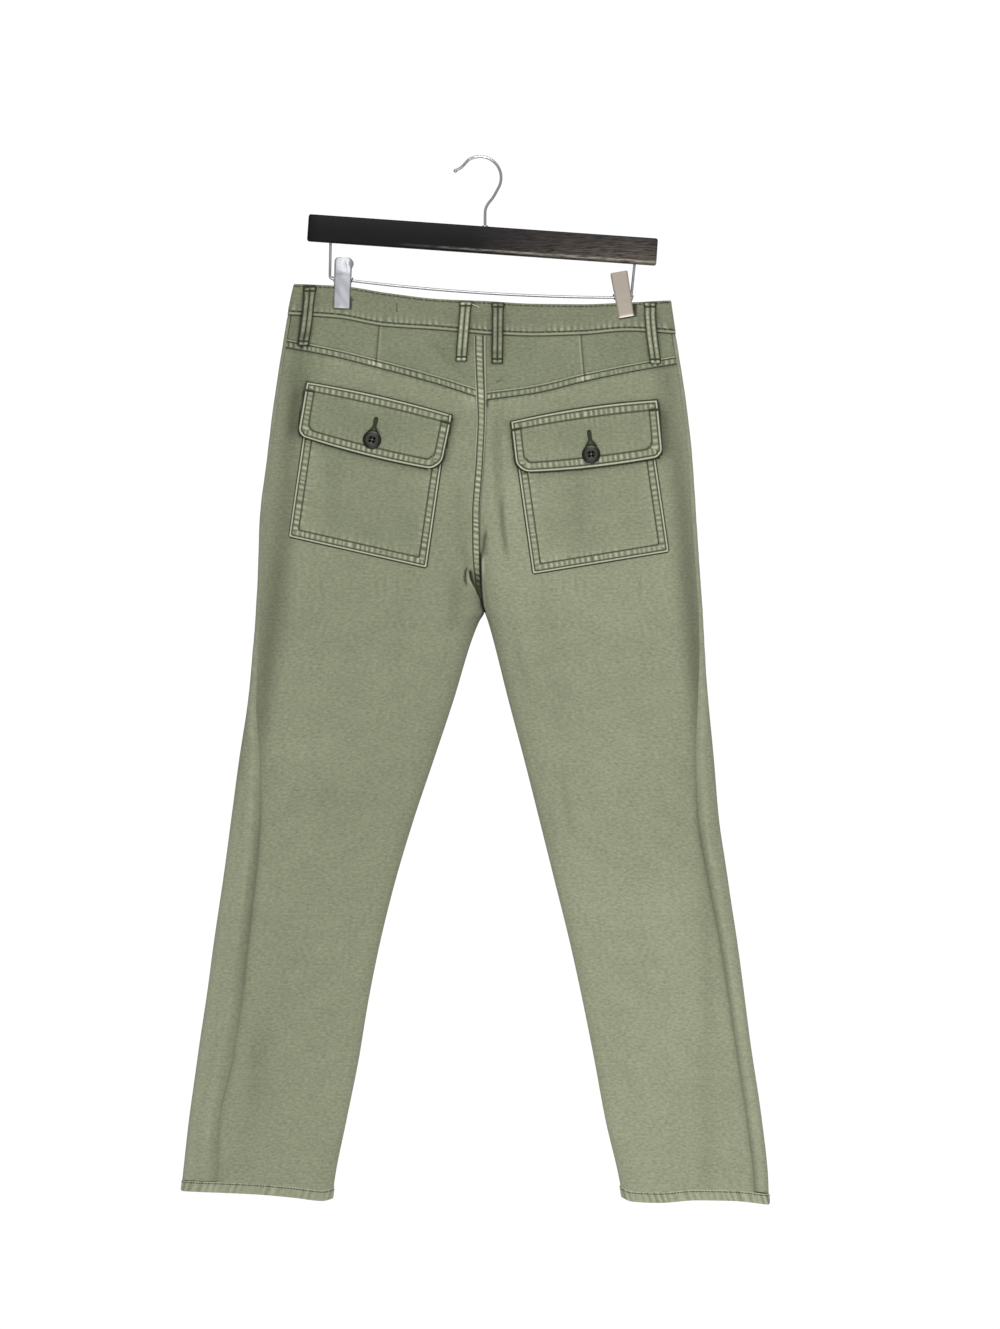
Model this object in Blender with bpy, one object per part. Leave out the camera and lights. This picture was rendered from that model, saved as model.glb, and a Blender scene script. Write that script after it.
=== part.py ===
"""Cotton utility trousers hung by the waistband from a clip hanger, seen from behind.

Metres, +Z up. The back of the trousers faces -Y, the wearer's left is at -X, and the origin is the
inner crest of the hanger's hook. The tables are in millimetres; "drop" is the depth below the origin.

Each half of the trousers is one flattened tube. A point of it has a station: 0 on the centre seam or
the inseam, 1 on the outer edge, and 2 on the centre seam or the inseam again, by way of the front.
"""

import math

import bmesh
import bpy
import numpy as np

MM = 0.001

# Cloth, in millimetres
SEAM_GAP = 0.3
LAY_GAP = 0.5  # under a piece that lies on a curved panel
CLOTH = 1.2
BAND_RISE = 0.8  # how far the waistband stands above the panels
HEM_RISE = 0.7
HEM_DEPTH = 11.0
HEM_FOLD = 0.5  # height of the step at the top of the hem
POCKET_CLOTH = 1.2
FLAP_CLOTH = 1.4
FLAP_LIFT = 2.3  # clears the pocket below it
FLAP_HINGE = 11.0  # from the flap's seam to where it lies over the pocket
LOOP_CLOTH = 1.6
LOOP_WIDTH = 12.0
LOOP_LIFT = 6.4  # room for a belt, above the waistband
LOOP_TACK = 5.0  # sewn length at each end of a loop
LOOP_SLOPE = 9.0
LAP = {"width": 36.0, "length": 150.0, "foot_lean": 5.0, "corner": 27.0, "top_slant": 0.6}
FRONT_HANG = 18.0  # the front waist hangs this much lower at the centre
FRONT_HEM_LIFT = 2.0
CROTCH = 474.0
RISE_START = 345.0  # the centre seams start to curve under here
CROTCH_ROUND = 62.0  # length of the hollow beside the centre seam
INSEAM_ROUND = 30.0  # length of the round along each inseam
INNER_END = 0.26  # station where the round of the inner edge ends
OUTER_START = 0.58  # station where the round of the outer edge starts

# Level rows of a panel: below the seam at its top, about the crotch, and down the leg
TOP_ROWS = (232.0, 270.0, 308.0)
CROTCH_ROWS = (-129, -98, -70, -48, -30, -16, -7, -2, 0, 3, 9, 20, 38, 62)
LEG_ROWS = {"first": 569.0, "last": 1055.0, "count": 10}
FOOT_ROW = 1085.0
FOLLOW_HEM = 860.0  # rows are level above this, and follow the hem below it

# Each panel is made in three stretches, between these rows
STRETCHES = {"seat": (0.0, 512.0), "thigh": (512.0, 785.0), "shin": (785.0, FOOT_ROW)}

# One row for each section. left_in and right_in are the centre seam above the crotch and the inseams
# below it; back and front are how far the cloth stands from the plane between them; edge is the length
# of the round at the outer edge; the rolls are how far each outseam has turned in over the back.
SECTION_COLUMNS = ("drop", "left_out", "left_in", "right_in", "right_out", "back", "front", "edge",
                   "left_roll", "right_roll")
SECTION_ROWS = (
    (125, -192.0, 6.5, 6.5, 196.0, 6.0, 6.0, 20, 4, 4),
    (152, -198.0, 6.5, 6.5, 199.0, 7.0, 6.5, 22, 4, 4),
    (190, -204.5, 6.5, 6.5, 204.5, 10.0, 8.5, 27, 4, 4),
    (252, -214.0, 7.2, 7.2, 214.0, 17.0, 13.0, 36, 4, 4),
    (315, -222.0, 4.6, 4.6, 221.1, 22.0, 16.5, 42, 4, 4),
    (378, -229.5, 0.4, 0.4, 225.3, 24.5, 19.0, 45, 4, 4),
    (440, -231.5, 0.6, 0.6, 229.5, 24.5, 20.0, 44, 4, 4),
    (466, -233.0, 2.6, 2.6, 231.5, 24.0, 19.5, 43, 4, 4),
    (474, -233.5, 4.7, 4.7, 232.0, 23.8, 19.2, 43, 4.2, 4.2),
    (482, -234.0, 0.2, 7.6, 232.5, 23.4, 19.0, 43, 4.5, 4.5),
    (503, -235.7, -8.3, 13.6, 233.6, 22.4, 18.3, 43, 5, 5),
    (565, -242.0, -27.1, 29.2, 238.0, 20.0, 17.0, 43, 9, 11),
    (628, -251.4, -48.0, 45.9, 244.1, 18.0, 16.0, 44, 22, 19),
    (690, -259.7, -68.8, 61.5, 249.5, 16.5, 15.0, 45, 31, 22),
    (753, -268.1, -87.6, 77.2, 258.7, 15.0, 14.0, 46, 34, 20.5),
    (816, -277.4, -103.3, 92.8, 268.1, 14.0, 13.0, 46, 36, 18),
    (878, -285.8, -115.8, 106.4, 276.4, 13.0, 12.5, 46, 37.5, 16.5),
    (941, -295.2, -126.2, 118.9, 284.7, 12.5, 12.0, 46, 37.5, 15.5),
    (1003, -303.5, -138.7, 130.4, 294.1, 12.0, 12.0, 45, 32, 15.5),
    (1066, -310.6, -151.2, 145.0, 300.8, 12.0, 12.0, 46, 36, 15),
    (1095, -313.0, -154.5, 149.5, 301.6, 12.0, 12.0, 46, 38, 15),
)

# Seams that cross the back, by their place between the left edge (-1) and the right edge (1)
CROSS_COLUMNS = ("across", "waist_top", "band_foot", "yoke_foot")
CROSS_ROWS = (
    (-1.0, 131.5, 163.8, 197.7),
    (-0.75, 133.7, 167.1, 207.6),
    (-0.5, 141.3, 176.1, 220.9),
    (-0.25, 147.3, 179.7, 235.7),
    (0.0, 149.5, 184.4, 253.3),
    (0.25, 152.3, 186.2, 246.1),
    (0.5, 152.8, 184.8, 233.9),
    (0.75, 151.0, 180.8, 223.6),
    (1.0, 148.6, 183.6, 214.9),
)
CENTRE_ROW = 4

# Foot of each leg, from the inseam (0) to the outer edge (1)
HEM_COLUMNS = ("along", "left", "right")
HEM_ROWS = (
    (0.0, 1085.0, 1084.0),
    (0.06, 1087.2, 1087.8),
    (0.25, 1083.8, 1089.1),
    (0.5, 1080.3, 1086.4),
    (0.75, 1078.5, 1087.0),
    (1.0, 1077.3, 1091.6),
)

# Soft troughs, each along a line from (x, drop) to (x, drop); width is from the middle to the brim
FOLD_COLUMNS = ("face", "top", "foot", "width", "depth")
FOLD_ROWS = (
    ("back", (-150, 640), (-205, 900), 26, 1.6),
    ("back", (120, 560), (180, 800), 28, 1.6),
    ("back", (-70, 560), (-150, 760), 24, 1.2),
    ("front", (-90, 230), (-20, 440), 22, 2.2),
    ("front", (95, 230), (25, 440), 22, 2.2),
    ("front", (-150, 620), (-215, 940), 28, 1.8),
    ("front", (130, 600), (200, 920), 28, 1.8),
)
OUTSEAM_SINK = {"depth": 1.3, "half_width": 6.0, "start": 600.0, "full": 700.0}

# Pieces that lie on the back or the front: corners as (x, drop); bow drops the middle of the foot,
# and the rounds are the radii of the foot's corners
PATCH_COLUMNS = ("top_out", "top_in", "foot_out", "foot_in", "bow", "round_out", "round_in")
POCKET_ROWS = {
    "left": ((-177.8, 250.5), (-34.6, 281.8), (-198.2, 395.3), (-55.8, 427.6), 0.0, 2.0, 2.0),
    "right": ((175.2, 265.2), (34.6, 287.2), (196.1, 410.9), (55.3, 433.9), 0.0, 2.0, 2.0),
}
FLAP_ROWS = {
    "left": ((-179.9, 234.7), (-29.6, 269.1), (-188.8, 290.2), (-41.7, 326.6), 3.0, 8.3, 14.6),
    "right": ((184.1, 253.5), (32.6, 275.9), (189.3, 312.3), (38.6, 328.4), 3.2, 9.0, 14.6),
}

# Belt loops, from (x, drop) at the waistband's top to (x, drop) on the yoke or the front panel
LOOP_ROWS = (
    ("back", (-177.3, 135.0), (-184.4, 196.0)),
    ("back", (-14.6, 150.4), (-19.8, 210.0)),
    ("back", (18.8, 151.6), (17.7, 211.7)),
    ("back", (177.3, 151.0), (182.5, 212.2)),
    ("front", (-92.0, 160.0), (-94.0, 220.0)),
    ("front", (96.0, 170.0), (97.0, 230.0)),
)

# A button, with its outline from seat to face as shares of (radius, height), and where each one sits
BUTTON = {"radius": 9.0, "height": 3.0}
BUTTON_OUTLINE = ((0, 0), (0.72, 0), (1, 0.4), (1, 0.72), (0.87, 1), (0.74, 1), (0.6, 0.62), (0, 0.62))
FLAP_BUTTONS = {"left": (-113.7, 292.6), "right": (115.8, 308.7)}
WAIST_BUTTON = (-6.0, 184.5)

YOKE_SPLIT = {"left": 0.535, "right": 0.5}  # each half's upright seam, as a share of its width
BAND_LAP = {"under": 0.17, "over": 0.05, "ramp_start": 0.07, "ramp_end": 0.13}  # stations past the centre
BAND_CENTRE = (0.0, 0.09, 0.18)  # stations of the waistband's columns next to the centre
BAND_ROWS = ((0.0, 0.45), (0.12, 1.0), (0.5, 1.0), (1.0, 1.0))  # share of its height, share of its rise
BAND_MIDDLE = 160.0  # drop to start from when the waistband's rows are looked for

# Hanger
BAR = {"middle": (2.6, 85.5), "length": 365.0, "height": 28.2, "depth": 14.0, "lean": 4.0, "round": 2.0}
HOOK = {"wire": 1.5, "radius": 22.0, "arc_start": 124.0, "arc_end": -30.0}
HOOK_FLARE = ((-26.2, 13.6), (-19.4, 9.7))
HOOK_SHANK = ((13.6, 41.2), (8.4, 47.8), (5.8, 53.5), (5.3, 60.0))
WIRE = {"radius": 1.1, "bend": 4.0, "left": (-156.6, 126.0), "right": (157.6, 146.1),
        "top_shift": (0.7, 3.6)}
CLIP_COLUMNS = ("x", "lean", "above", "below")
CLIP_ROWS = {"left": (-143.2, 2.0, 23.0, 30.0), "right": (149.3, -9.7, 27.0, 20.6)}
JAW = {"width": 17.2, "metal": 1.0, "lever_spread": 8.0, "neck_spread": 5.9, "tip_curl": 0.9,
       "hold_start": 5.0, "curl_length": 3.0}
SPRING = {"outer": 3.2, "inner": 1.45, "length": 7.6}
PINCH = {"half_depth": 2.2, "flat": 13.0, "reach": 62.0, "fade_top": 168.0, "fade_foot": 236.0}

COLOURS = {
    "cloth": ((140, 145, 120), 0.9, 0.0),
    "band": ((131, 135, 112), 0.9, 0.0),
    "trim": ((137, 141, 117), 0.9, 0.0),
    "button": ((52, 51, 44), 0.45, 0.0),
    "wood": ((44, 42, 43), 0.5, 0.0),
    "chrome": ((196, 197, 200), 0.2, 1.0),
    "clip": ((178, 175, 172), 0.32, 1.0),
}

SECTIONS = dict(zip(SECTION_COLUMNS, zip(*SECTION_ROWS)))
CROSS_SEAMS = dict(zip(CROSS_COLUMNS, zip(*CROSS_ROWS)))
HEMS = dict(zip(HEM_COLUMNS, zip(*HEM_ROWS)))
FOLDS = [dict(zip(FOLD_COLUMNS, row)) for row in FOLD_ROWS]
POCKETS = {side: dict(zip(PATCH_COLUMNS, row)) for side, row in POCKET_ROWS.items()}
FLAPS = {side: dict(zip(PATCH_COLUMNS, row)) for side, row in FLAP_ROWS.items()}
CLIPS = {side: dict(zip(CLIP_COLUMNS, row)) for side, row in CLIP_ROWS.items()}
SIDES = {"left": -1, "right": 1}
QUARTER_TURN = math.pi / 2


# Curves through the tables

def through(stations, values, at):
    """A smooth curve through the rows of a table that never swings past them."""
    x = np.asarray(stations, float)
    y = np.asarray(values, float)
    at = np.clip(np.asarray(at, float), x[0], x[-1])
    step = np.diff(x)
    slope = np.diff(y) / step
    bend = np.zeros_like(y)
    same_way = slope[1:] * slope[:-1] > 0
    total = np.where(same_way, slope[1:] + slope[:-1], 1)
    bend[1:-1] = np.where(same_way, 2 * slope[1:] * slope[:-1] / total, 0)
    bend[0] = slope[0]
    bend[-1] = slope[-1]
    row = np.clip(np.searchsorted(x, at, side="right") - 1, 0, len(x) - 2)
    t = (at - x[row]) / step[row]
    rise = y[row] + (y[row + 1] - y[row]) * t * t * (3 - 2 * t)
    lean_in = bend[row] * t * (1 - t) ** 2
    lean_out = bend[row + 1] * t * t * (t - 1)
    return rise + step[row] * (lean_in + lean_out)


def ease(value):
    value = np.clip(value, 0, 1)
    return value * value * (3 - 2 * value)


def section(name, drop):
    return through(SECTIONS["drop"], SECTIONS[name], drop)


def by_side(side, name, drop):
    """A left or right column of the sections; side is -1 or 1 and may be an array."""
    return np.where(np.asarray(side) < 0, section("left_" + name, drop), section("right_" + name, drop))


def cross_seam(name, across):
    """Drop of a seam that crosses the back; it may turn sharply at the centre."""
    stations = CROSS_SEAMS["across"]
    values = CROSS_SEAMS[name]
    left = through(stations[:CENTRE_ROW + 1], values[:CENTRE_ROW + 1], across)
    right = through(stations[CENTRE_ROW:], values[CENTRE_ROW:], across)
    return np.where(np.asarray(across) < 0, left, right)


def front_seam(name, across):
    """The same seam on the front, which hangs lower towards the centre."""
    share = (1 + across) / 2
    level = cross_seam(name, -1.0) * (1 - share) + cross_seam(name, 1.0) * share
    return level + FRONT_HANG * (1 - across ** 2)


def hem(side, along):
    return through(HEMS["along"], HEMS["left" if side < 0 else "right"], along)


# The form of the cloth

def openness(drop):
    """1 where back and front stand apart at the centre seam, 0 from the crotch down."""
    fall = np.clip((drop - RISE_START) / (CROTCH - RISE_START), 0, 1)
    return np.sqrt(1 - fall ** 2)


def inner_edge(side, drop):
    """The centre seam or the inseam; the halves part by a seam's gap towards the crotch."""
    return by_side(side, "in", drop) + side * (SEAM_GAP / 2) * (1 - openness(drop))


def inner_round(drop):
    return INSEAM_ROUND + (CROTCH_ROUND - INSEAM_ROUND) * openness(drop)


def pinch(x, drop):
    """1 where a clip holds back and front together, fading to 0 away from it."""
    held = np.zeros(np.broadcast(x, drop).shape)
    for clip in CLIPS.values():
        away = (np.abs(x - clip["x"]) - PINCH["flat"]) / (PINCH["reach"] - PINCH["flat"])
        held = np.maximum(held, 1 - ease(away))
    fade = ease((drop - PINCH["fade_top"]) / (PINCH["fade_foot"] - PINCH["fade_top"]))
    return held * (1 - fade)


def troughs(face, x, drop):
    """Depth of the soft folds at a place on the back or the front."""
    depth = np.zeros(np.broadcast(x, drop).shape)
    for fold in FOLDS:
        if fold["face"] == face:
            (top_x, top_drop), (foot_x, foot_drop) = fold["top"], fold["foot"]
            along = (drop - top_drop) / (foot_drop - top_drop)
            line = top_x + (foot_x - top_x) * np.clip(along, 0, 1)
            ends = ease(along * 4) * ease((1 - along) * 4)
            depth += fold["depth"] * ends * (1 - ease(np.abs(x - line) / fold["width"]))
    return depth


def outseam_sink(side, x, drop):
    """The groove along an outseam that has turned in over the back of the leg."""
    seam = by_side(side, "out", drop) - side * by_side(side, "roll", drop)
    length = OUTSEAM_SINK["full"] - OUTSEAM_SINK["start"]
    depth = OUTSEAM_SINK["depth"] * ease((drop - OUTSEAM_SINK["start"]) / length)
    return depth * np.exp(-((x - seam) / OUTSEAM_SINK["half_width"]) ** 2)


def half_depth(side, front, x, drop):
    """How far the cloth's outside lies from the plane between back and front."""
    from_inner = np.maximum((x - inner_edge(side, drop)) * side, 0)
    from_outer = np.maximum((by_side(side, "out", drop) - x) * side, 0)
    left_in = np.clip(1 - from_inner / inner_round(drop), 0, 1)
    left_out = np.clip(1 - from_outer / section("edge", drop), 0, 1)
    open_share = openness(drop)
    shape_in = np.sqrt(open_share ** 2 + (1 - open_share ** 2) * (1 - left_in ** 2))
    shape_out = np.sqrt(1 - left_out ** 2)
    held = pinch(x, drop)
    full = np.where(front, section("front", drop), section("back", drop))
    full = full * (1 - held) + PINCH["half_depth"] * held
    sunk_back = troughs("back", x, drop) + outseam_sink(side, x, drop)
    full = full - np.where(front, troughs("front", x, drop), sunk_back)
    return full * shape_in * shape_out


def tube_point(side, station, drop):
    """A point on the outside of a half, by station and drop, in millimetres."""
    front = station > 1
    fold = np.where(front, 2 - station, station)
    inner = inner_edge(side, drop)
    width = np.abs(by_side(side, "out", drop) - inner)
    round_in = inner_round(drop)
    round_out = section("edge", drop)
    turn_in = np.clip(fold / INNER_END, 0, 1) * QUARTER_TURN
    turn_out = np.clip((fold - OUTER_START) / (1 - OUTER_START), 0, 1) * QUARTER_TURN
    flat = np.clip((fold - INNER_END) / (OUTER_START - INNER_END), 0, 1) * (width - round_in - round_out)
    x = inner + side * (round_in * (1 - np.cos(turn_in)) + flat + round_out * np.sin(turn_out))
    y = half_depth(side, front, x, drop) * np.where(front, 1, -1)
    return np.stack(np.broadcast_arrays(x, y, -drop), axis=-1)


def share_of(side, station, drop):
    """Share of the way from the inner edge to the outer edge, for a station."""
    x = tube_point(side, station, drop)[..., 0]
    inner = inner_edge(side, drop)
    return (x - inner) / (by_side(side, "out", drop) - inner)


def station_at(side, share, drop):
    """The back's station at a share of the way out, in the flat between the two rounds."""
    width = np.abs(by_side(side, "out", drop) - inner_edge(side, drop))
    flat = width - inner_round(drop) - section("edge", drop)
    part = (share * width - inner_round(drop)) / flat
    return INNER_END + part * (OUTER_START - INNER_END)


def outseam_station(side, drop):
    turned = np.arcsin(1 - by_side(side, "roll", drop) / section("edge", drop))
    return OUTER_START + (1 - OUTER_START) * turned / QUARTER_TURN


def unit(vectors):
    return vectors / np.maximum(np.linalg.norm(vectors, axis=-1, keepdims=True), 1e-9)


def tube_normal(side, station, drop):
    small = 0.004
    before = np.maximum(station - small, 0)
    after = np.minimum(station + small, 2)
    across = tube_point(side, after, drop) - tube_point(side, before, drop)
    down = tube_point(side, station, drop + 0.5) - tube_point(side, station, drop - 0.5)
    return unit(np.cross(across, down)) * -np.asarray(side, float)[..., None]


def face_point(face, x, drop):
    """A point on the outside of the back or the front, by x and drop, in millimetres."""
    side = np.where(x < section("left_in", drop), -1, 1)
    y = half_depth(side, face == "front", x, drop) * (1 if face == "front" else -1)
    return np.stack(np.broadcast_arrays(x, y, -drop), axis=-1)


def face_frame(face, x, drop):
    """A point, its outward normal and the direction down the cloth."""
    small = 0.5
    across = face_point(face, x + small, drop) - face_point(face, x - small, drop)
    down = face_point(face, x, drop + small) - face_point(face, x, drop - small)
    normal = unit(np.cross(across, down)) * (1 if face == "front" else -1)
    return face_point(face, x, drop), normal, unit(down)


# Meshes

def srgb(rgb):
    shares = np.array(rgb) / 255
    linear = np.where(shares <= 0.04045, shares / 12.92, ((shares + 0.055) / 1.055) ** 2.4)
    return (*linear.tolist(), 1.0)


def material(name):
    found = bpy.data.materials.get(name)
    if found:
        return found
    rgb, roughness, metallic = COLOURS[name]
    made = bpy.data.materials.new(name)
    made.use_nodes = True
    shader = made.node_tree.nodes["Principled BSDF"]
    shader.inputs["Base Color"].default_value = srgb(rgb)
    shader.inputs["Roughness"].default_value = roughness
    shader.inputs["Metallic"].default_value = metallic
    made.diffuse_color = srgb(rgb)
    return made


def add_mesh(name, points, faces, finish):
    """A closed body from points in millimetres, its faces pointing out."""
    mesh = bpy.data.meshes.new(name)
    mesh.from_pydata((np.asarray(points) * MM).tolist(), [], faces)
    shape = bmesh.new()
    shape.from_mesh(mesh)
    bmesh.ops.recalc_face_normals(shape, faces=shape.faces)
    shape.to_mesh(mesh)
    shape.free()
    mesh.materials.append(material(finish))
    mesh.shade_smooth()
    mesh.set_sharp_from_angle(angle=math.radians(35))
    thing = bpy.data.objects.new(name, mesh)
    bpy.context.collection.objects.link(thing)


def drawn_in(grid, by):
    """The grid with each edge pulled towards the next row or column, half a seam's gap."""
    grid = grid.copy()
    grid[0] += unit(grid[1] - grid[0]) * by
    grid[-1] += unit(grid[-2] - grid[-1]) * by
    grid[:, 0] += unit(grid[:, 1] - grid[:, 0]) * by
    grid[:, -1] += unit(grid[:, -2] - grid[:, -1]) * by
    return grid


def add_wall(name, outside, inside, finish):
    """A sheet with thickness: two grids of points, joined round the rim."""
    rows, columns = outside.shape[:2]
    front = np.arange(rows * columns).reshape(rows, columns)
    size = rows * columns
    quads = np.stack([front[:-1, :-1], front[1:, :-1], front[1:, 1:], front[:-1, 1:]], -1).reshape(-1, 4)
    rim = np.concatenate([front[0, :-1], front[:-1, -1], front[-1, :0:-1], front[:0:-1, 0]])
    after = np.roll(rim, -1)
    edge = np.stack([rim, after, after + size, rim + size], -1)
    faces = np.concatenate([quads, quads[:, ::-1] + size, edge]).tolist()
    add_mesh(name, np.concatenate([outside.reshape(-1, 3), inside.reshape(-1, 3)]), faces, finish)


def add_tube_wall(name, side, station, drop, finish, rise=0.0, sink=0.0):
    """A wall on the tube from grids of stations and drops; rise lifts only its outer points."""
    side = np.broadcast_to(side, station.shape)
    surface = tube_point(side, station, drop)
    normal = tube_normal(side, station, drop)
    outside = surface + normal * np.broadcast_to(rise - sink, station.shape)[..., None]
    inside = surface - normal * np.broadcast_to(CLOTH + sink, station.shape)[..., None]
    add_wall(name, drawn_in(outside, SEAM_GAP / 2), drawn_in(inside, SEAM_GAP / 2), finish)


def add_patch(name, face, x, drop, lift, thickness, finish):
    """A wall that lies on the back or the front, moved out from its points by lift."""
    surface, normal, _ = face_frame(face, x, drop)
    lift = np.broadcast_to(lift, x.shape)[..., None]
    add_wall(name, surface + normal * (lift + thickness), surface + normal * lift, finish)


def add_turned(name, profile, place, axis, finish, segments=20):
    """A solid of revolution; profile runs from the axis out and back to it as (radius, height)."""
    axis = unit(np.asarray(axis, float))
    first = unit(np.cross(axis, (1.0, 0.0, 0.0)))
    second = np.cross(axis, first)
    turn = np.linspace(0, 2 * math.pi, segments, endpoint=False)
    ring = np.cos(turn)[:, None] * first + np.sin(turn)[:, None] * second
    rings = [place + ring * radius + axis * height for radius, height in profile[1:-1]]
    ends = [place + axis * profile[0][1], place + axis * profile[-1][1]]
    points = np.concatenate([*rings, ends])
    start = len(rings) * segments
    faces = []
    for k in range(segments):
        after = (k + 1) % segments
        faces.append((start, k, after))
        for low in range(0, start - segments, segments):
            high = low + segments
            faces.append((low + k, high + k, high + after, low + after))
        faces.append((start - segments + k, start + 1, start - segments + after))
    add_mesh(name, points, faces, finish)


def add_rod(name, path, radius, finish, sides=10):
    """A round wire along a path of points in the hanger's plane, with flat ends."""
    along = unit(np.gradient(path, axis=0))
    across = np.array((0.0, 1.0, 0.0))
    outward = unit(np.cross(along, across))
    turn = np.linspace(0, 2 * math.pi, sides, endpoint=False)
    ring = np.cos(turn)[None, :, None] * outward[:, None] + np.sin(turn)[None, :, None] * across
    points = (path[:, None] + radius * ring).reshape(-1, 3)
    faces = [list(range(sides)), list(range(len(points) - sides, len(points)))]
    for low in range(0, len(points) - sides, sides):
        for k in range(sides):
            after = (k + 1) % sides
            faces.append((low + k, low + after, low + sides + after, low + sides + k))
    add_mesh(name, points, faces, finish)


def add_bar(name, outline, ends, finish):
    """A straight piece: an outline of points at each end, joined along its length."""
    count = len(outline)
    points = np.concatenate([outline + ends[0], outline + ends[1]])
    faces = [list(range(count)), list(range(count, 2 * count))]
    faces += [(k, (k + 1) % count, (k + 1) % count + count, k + count) for k in range(count)]
    add_mesh(name, points, faces, finish)


# The trousers

def panel_levels():
    """Level rows of a panel: close together at the crotch and at the hem's fold."""
    leg_rows = np.linspace(LEG_ROWS["first"], LEG_ROWS["last"], LEG_ROWS["count"])
    hem_rows = FOOT_ROW - np.array([HEM_DEPTH + HEM_FOLD, HEM_DEPTH, 0])
    return np.concatenate([TOP_ROWS, CROTCH + np.array(CROTCH_ROWS), leg_rows, hem_rows])


def panel_drops(side, share, top, lift):
    """Rows that follow the seam above and the hem below, and are level in between."""
    levels = panel_levels()[:, None]
    near_top = np.clip((CROTCH - levels) / (CROTCH - levels[0]), 0, 1)
    near_foot = np.clip((levels - FOLLOW_HEM) / (FOOT_ROW - FOLLOW_HEM), 0, 1)
    foot = hem(side, share) - lift
    return levels + (top - levels[0]) * near_top + (foot - levels[-1]) * near_foot


def in_runs(counts, ends):
    """Stations in runs of evenly spaced columns, between ends that are given for each row."""
    runs = [ends[0][:, None]]
    for count, start, stop in zip(counts, ends[:-1], ends[1:]):
        share = np.arange(1, count + 1) / count
        runs.append(start[:, None] + (stop - start)[:, None] * share)
    return np.concatenate(runs, axis=1)


def panel_grid(side, counts, ends, seam, lift):
    """Stations and drops of a whole panel, from its run ends and the seam at its top."""
    levels = panel_levels()
    station = in_runs(counts, ends(levels))
    drop = np.broadcast_to(levels[:, None], station.shape)
    for _ in range(3):
        share = share_of(side, station, drop)
        drop = panel_drops(side, share, seam(side * share), lift)
    return station, drop


def add_stretches(name, side, station, drop):
    """A panel as its three stretches, the last with the hem's raised band."""
    levels = panel_levels()
    rise = np.zeros(station.shape)
    rise[-2:] = HEM_RISE
    for stretch, (start, stop) in STRETCHES.items():
        rows = (levels >= start) & (levels <= stop)
        add_tube_wall(f"{name}_{stretch}", side, station[rows], drop[rows], "cloth", rise[rows])


def add_back_panel(name, side):
    def ends(drop):
        return [0 * drop, 0 * drop + INNER_END, 0 * drop + OUTER_START, outseam_station(side, drop)]

    def seam(across):
        return cross_seam("yoke_foot", across)

    station, drop = panel_grid(side, (4, 7, 5), ends, seam, 0)
    add_stretches(name, side, station, drop)


def add_front_panel(name, side):
    def ends(drop):
        return [outseam_station(side, drop), 0 * drop + 1, 0 * drop + 2 - OUTER_START,
                0 * drop + 2 - INNER_END, 0 * drop + 2]

    def seam(across):
        return front_seam("band_foot", across)

    station, drop = panel_grid(side, (3, 5, 6, 4), ends, seam, FRONT_HEM_LIFT)
    add_stretches(name, side, station, drop)


def add_yoke(name, side, split, outer):
    """A yoke piece between the centre seam, the upright seam or the outseam."""
    rows = np.linspace(0, 1, 5)
    top = cross_seam("band_foot", side * split)
    drop = top + (cross_seam("yoke_foot", side * split) - top) * rows
    upright = station_at(side, split, drop)
    ends = [upright, outseam_station(side, drop)] if outer else [0 * drop, upright]
    station = in_runs((8,), ends)
    drop = np.broadcast_to(drop[:, None], station.shape)
    for _ in range(3):
        across = side * share_of(side, station, drop)
        top = cross_seam("band_foot", across)
        drop = top + (cross_seam("yoke_foot", across) - top) * rows[:, None]
    add_tube_wall(name, side, station, drop, "cloth")


def add_waistband():
    """One strip all round: underlap, right front, right back, left back, left front and its end."""
    flat = np.linspace(INNER_END, OUTER_START, 8)
    turn = np.linspace(OUTER_START, 1, 7)[1:]
    walk = np.concatenate([flat, turn])
    under = np.linspace(BAND_LAP["under"], 0, 4)
    ramp = np.linspace(BAND_LAP["ramp_start"], BAND_LAP["ramp_end"], 4)
    centre = np.array(BAND_CENTRE)
    right = np.concatenate([2 - ramp, [2 - centre[-1]], 2 - walk, walk[-2::-1], centre[:0:-1]])
    left = np.concatenate([centre, walk, 2 - walk[-2::-1], 2 - centre[::-1]])
    station = np.concatenate([2 - under, right, left, [2 - BAND_LAP["over"]]])
    side = np.concatenate([-np.ones(under.size), np.ones(right.size), -np.ones(left.size), [1.0]])
    ramp_length = BAND_LAP["ramp_end"] - BAND_LAP["ramp_start"]
    tucked = 1 - ease((2 - station - BAND_LAP["ramp_start"]) / ramp_length)
    lap_columns = np.arange(station.size) < under.size + ramp.size
    sink = np.where(lap_columns, np.where(side < 0, 1, tucked), 0) * (BAND_RISE + CLOTH + SEAM_GAP)
    rows, rise = np.array(BAND_ROWS).T[..., None]
    rise = rise * BAND_RISE
    station = np.broadcast_to(station, (rows.size, station.size))
    side = np.broadcast_to(side, station.shape)
    drop = np.full(station.shape, BAND_MIDDLE)
    for _ in range(3):
        across = side * share_of(side, station, drop)
        top = np.where(station > 1, front_seam("waist_top", across), cross_seam("waist_top", across))
        foot = np.where(station > 1, front_seam("band_foot", across), cross_seam("band_foot", across))
        drop = top + (foot - top) * rows
    add_tube_wall("waistband", side, station, drop, "band", rise, sink)


def rounded(share, radius, length):
    """How far a rounded corner draws a side in, at a share of the way to the corner."""
    up = np.clip((share * length - (length - radius)) / radius, 0, 1)
    return radius * (1 - np.sqrt(1 - up ** 2))


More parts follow.
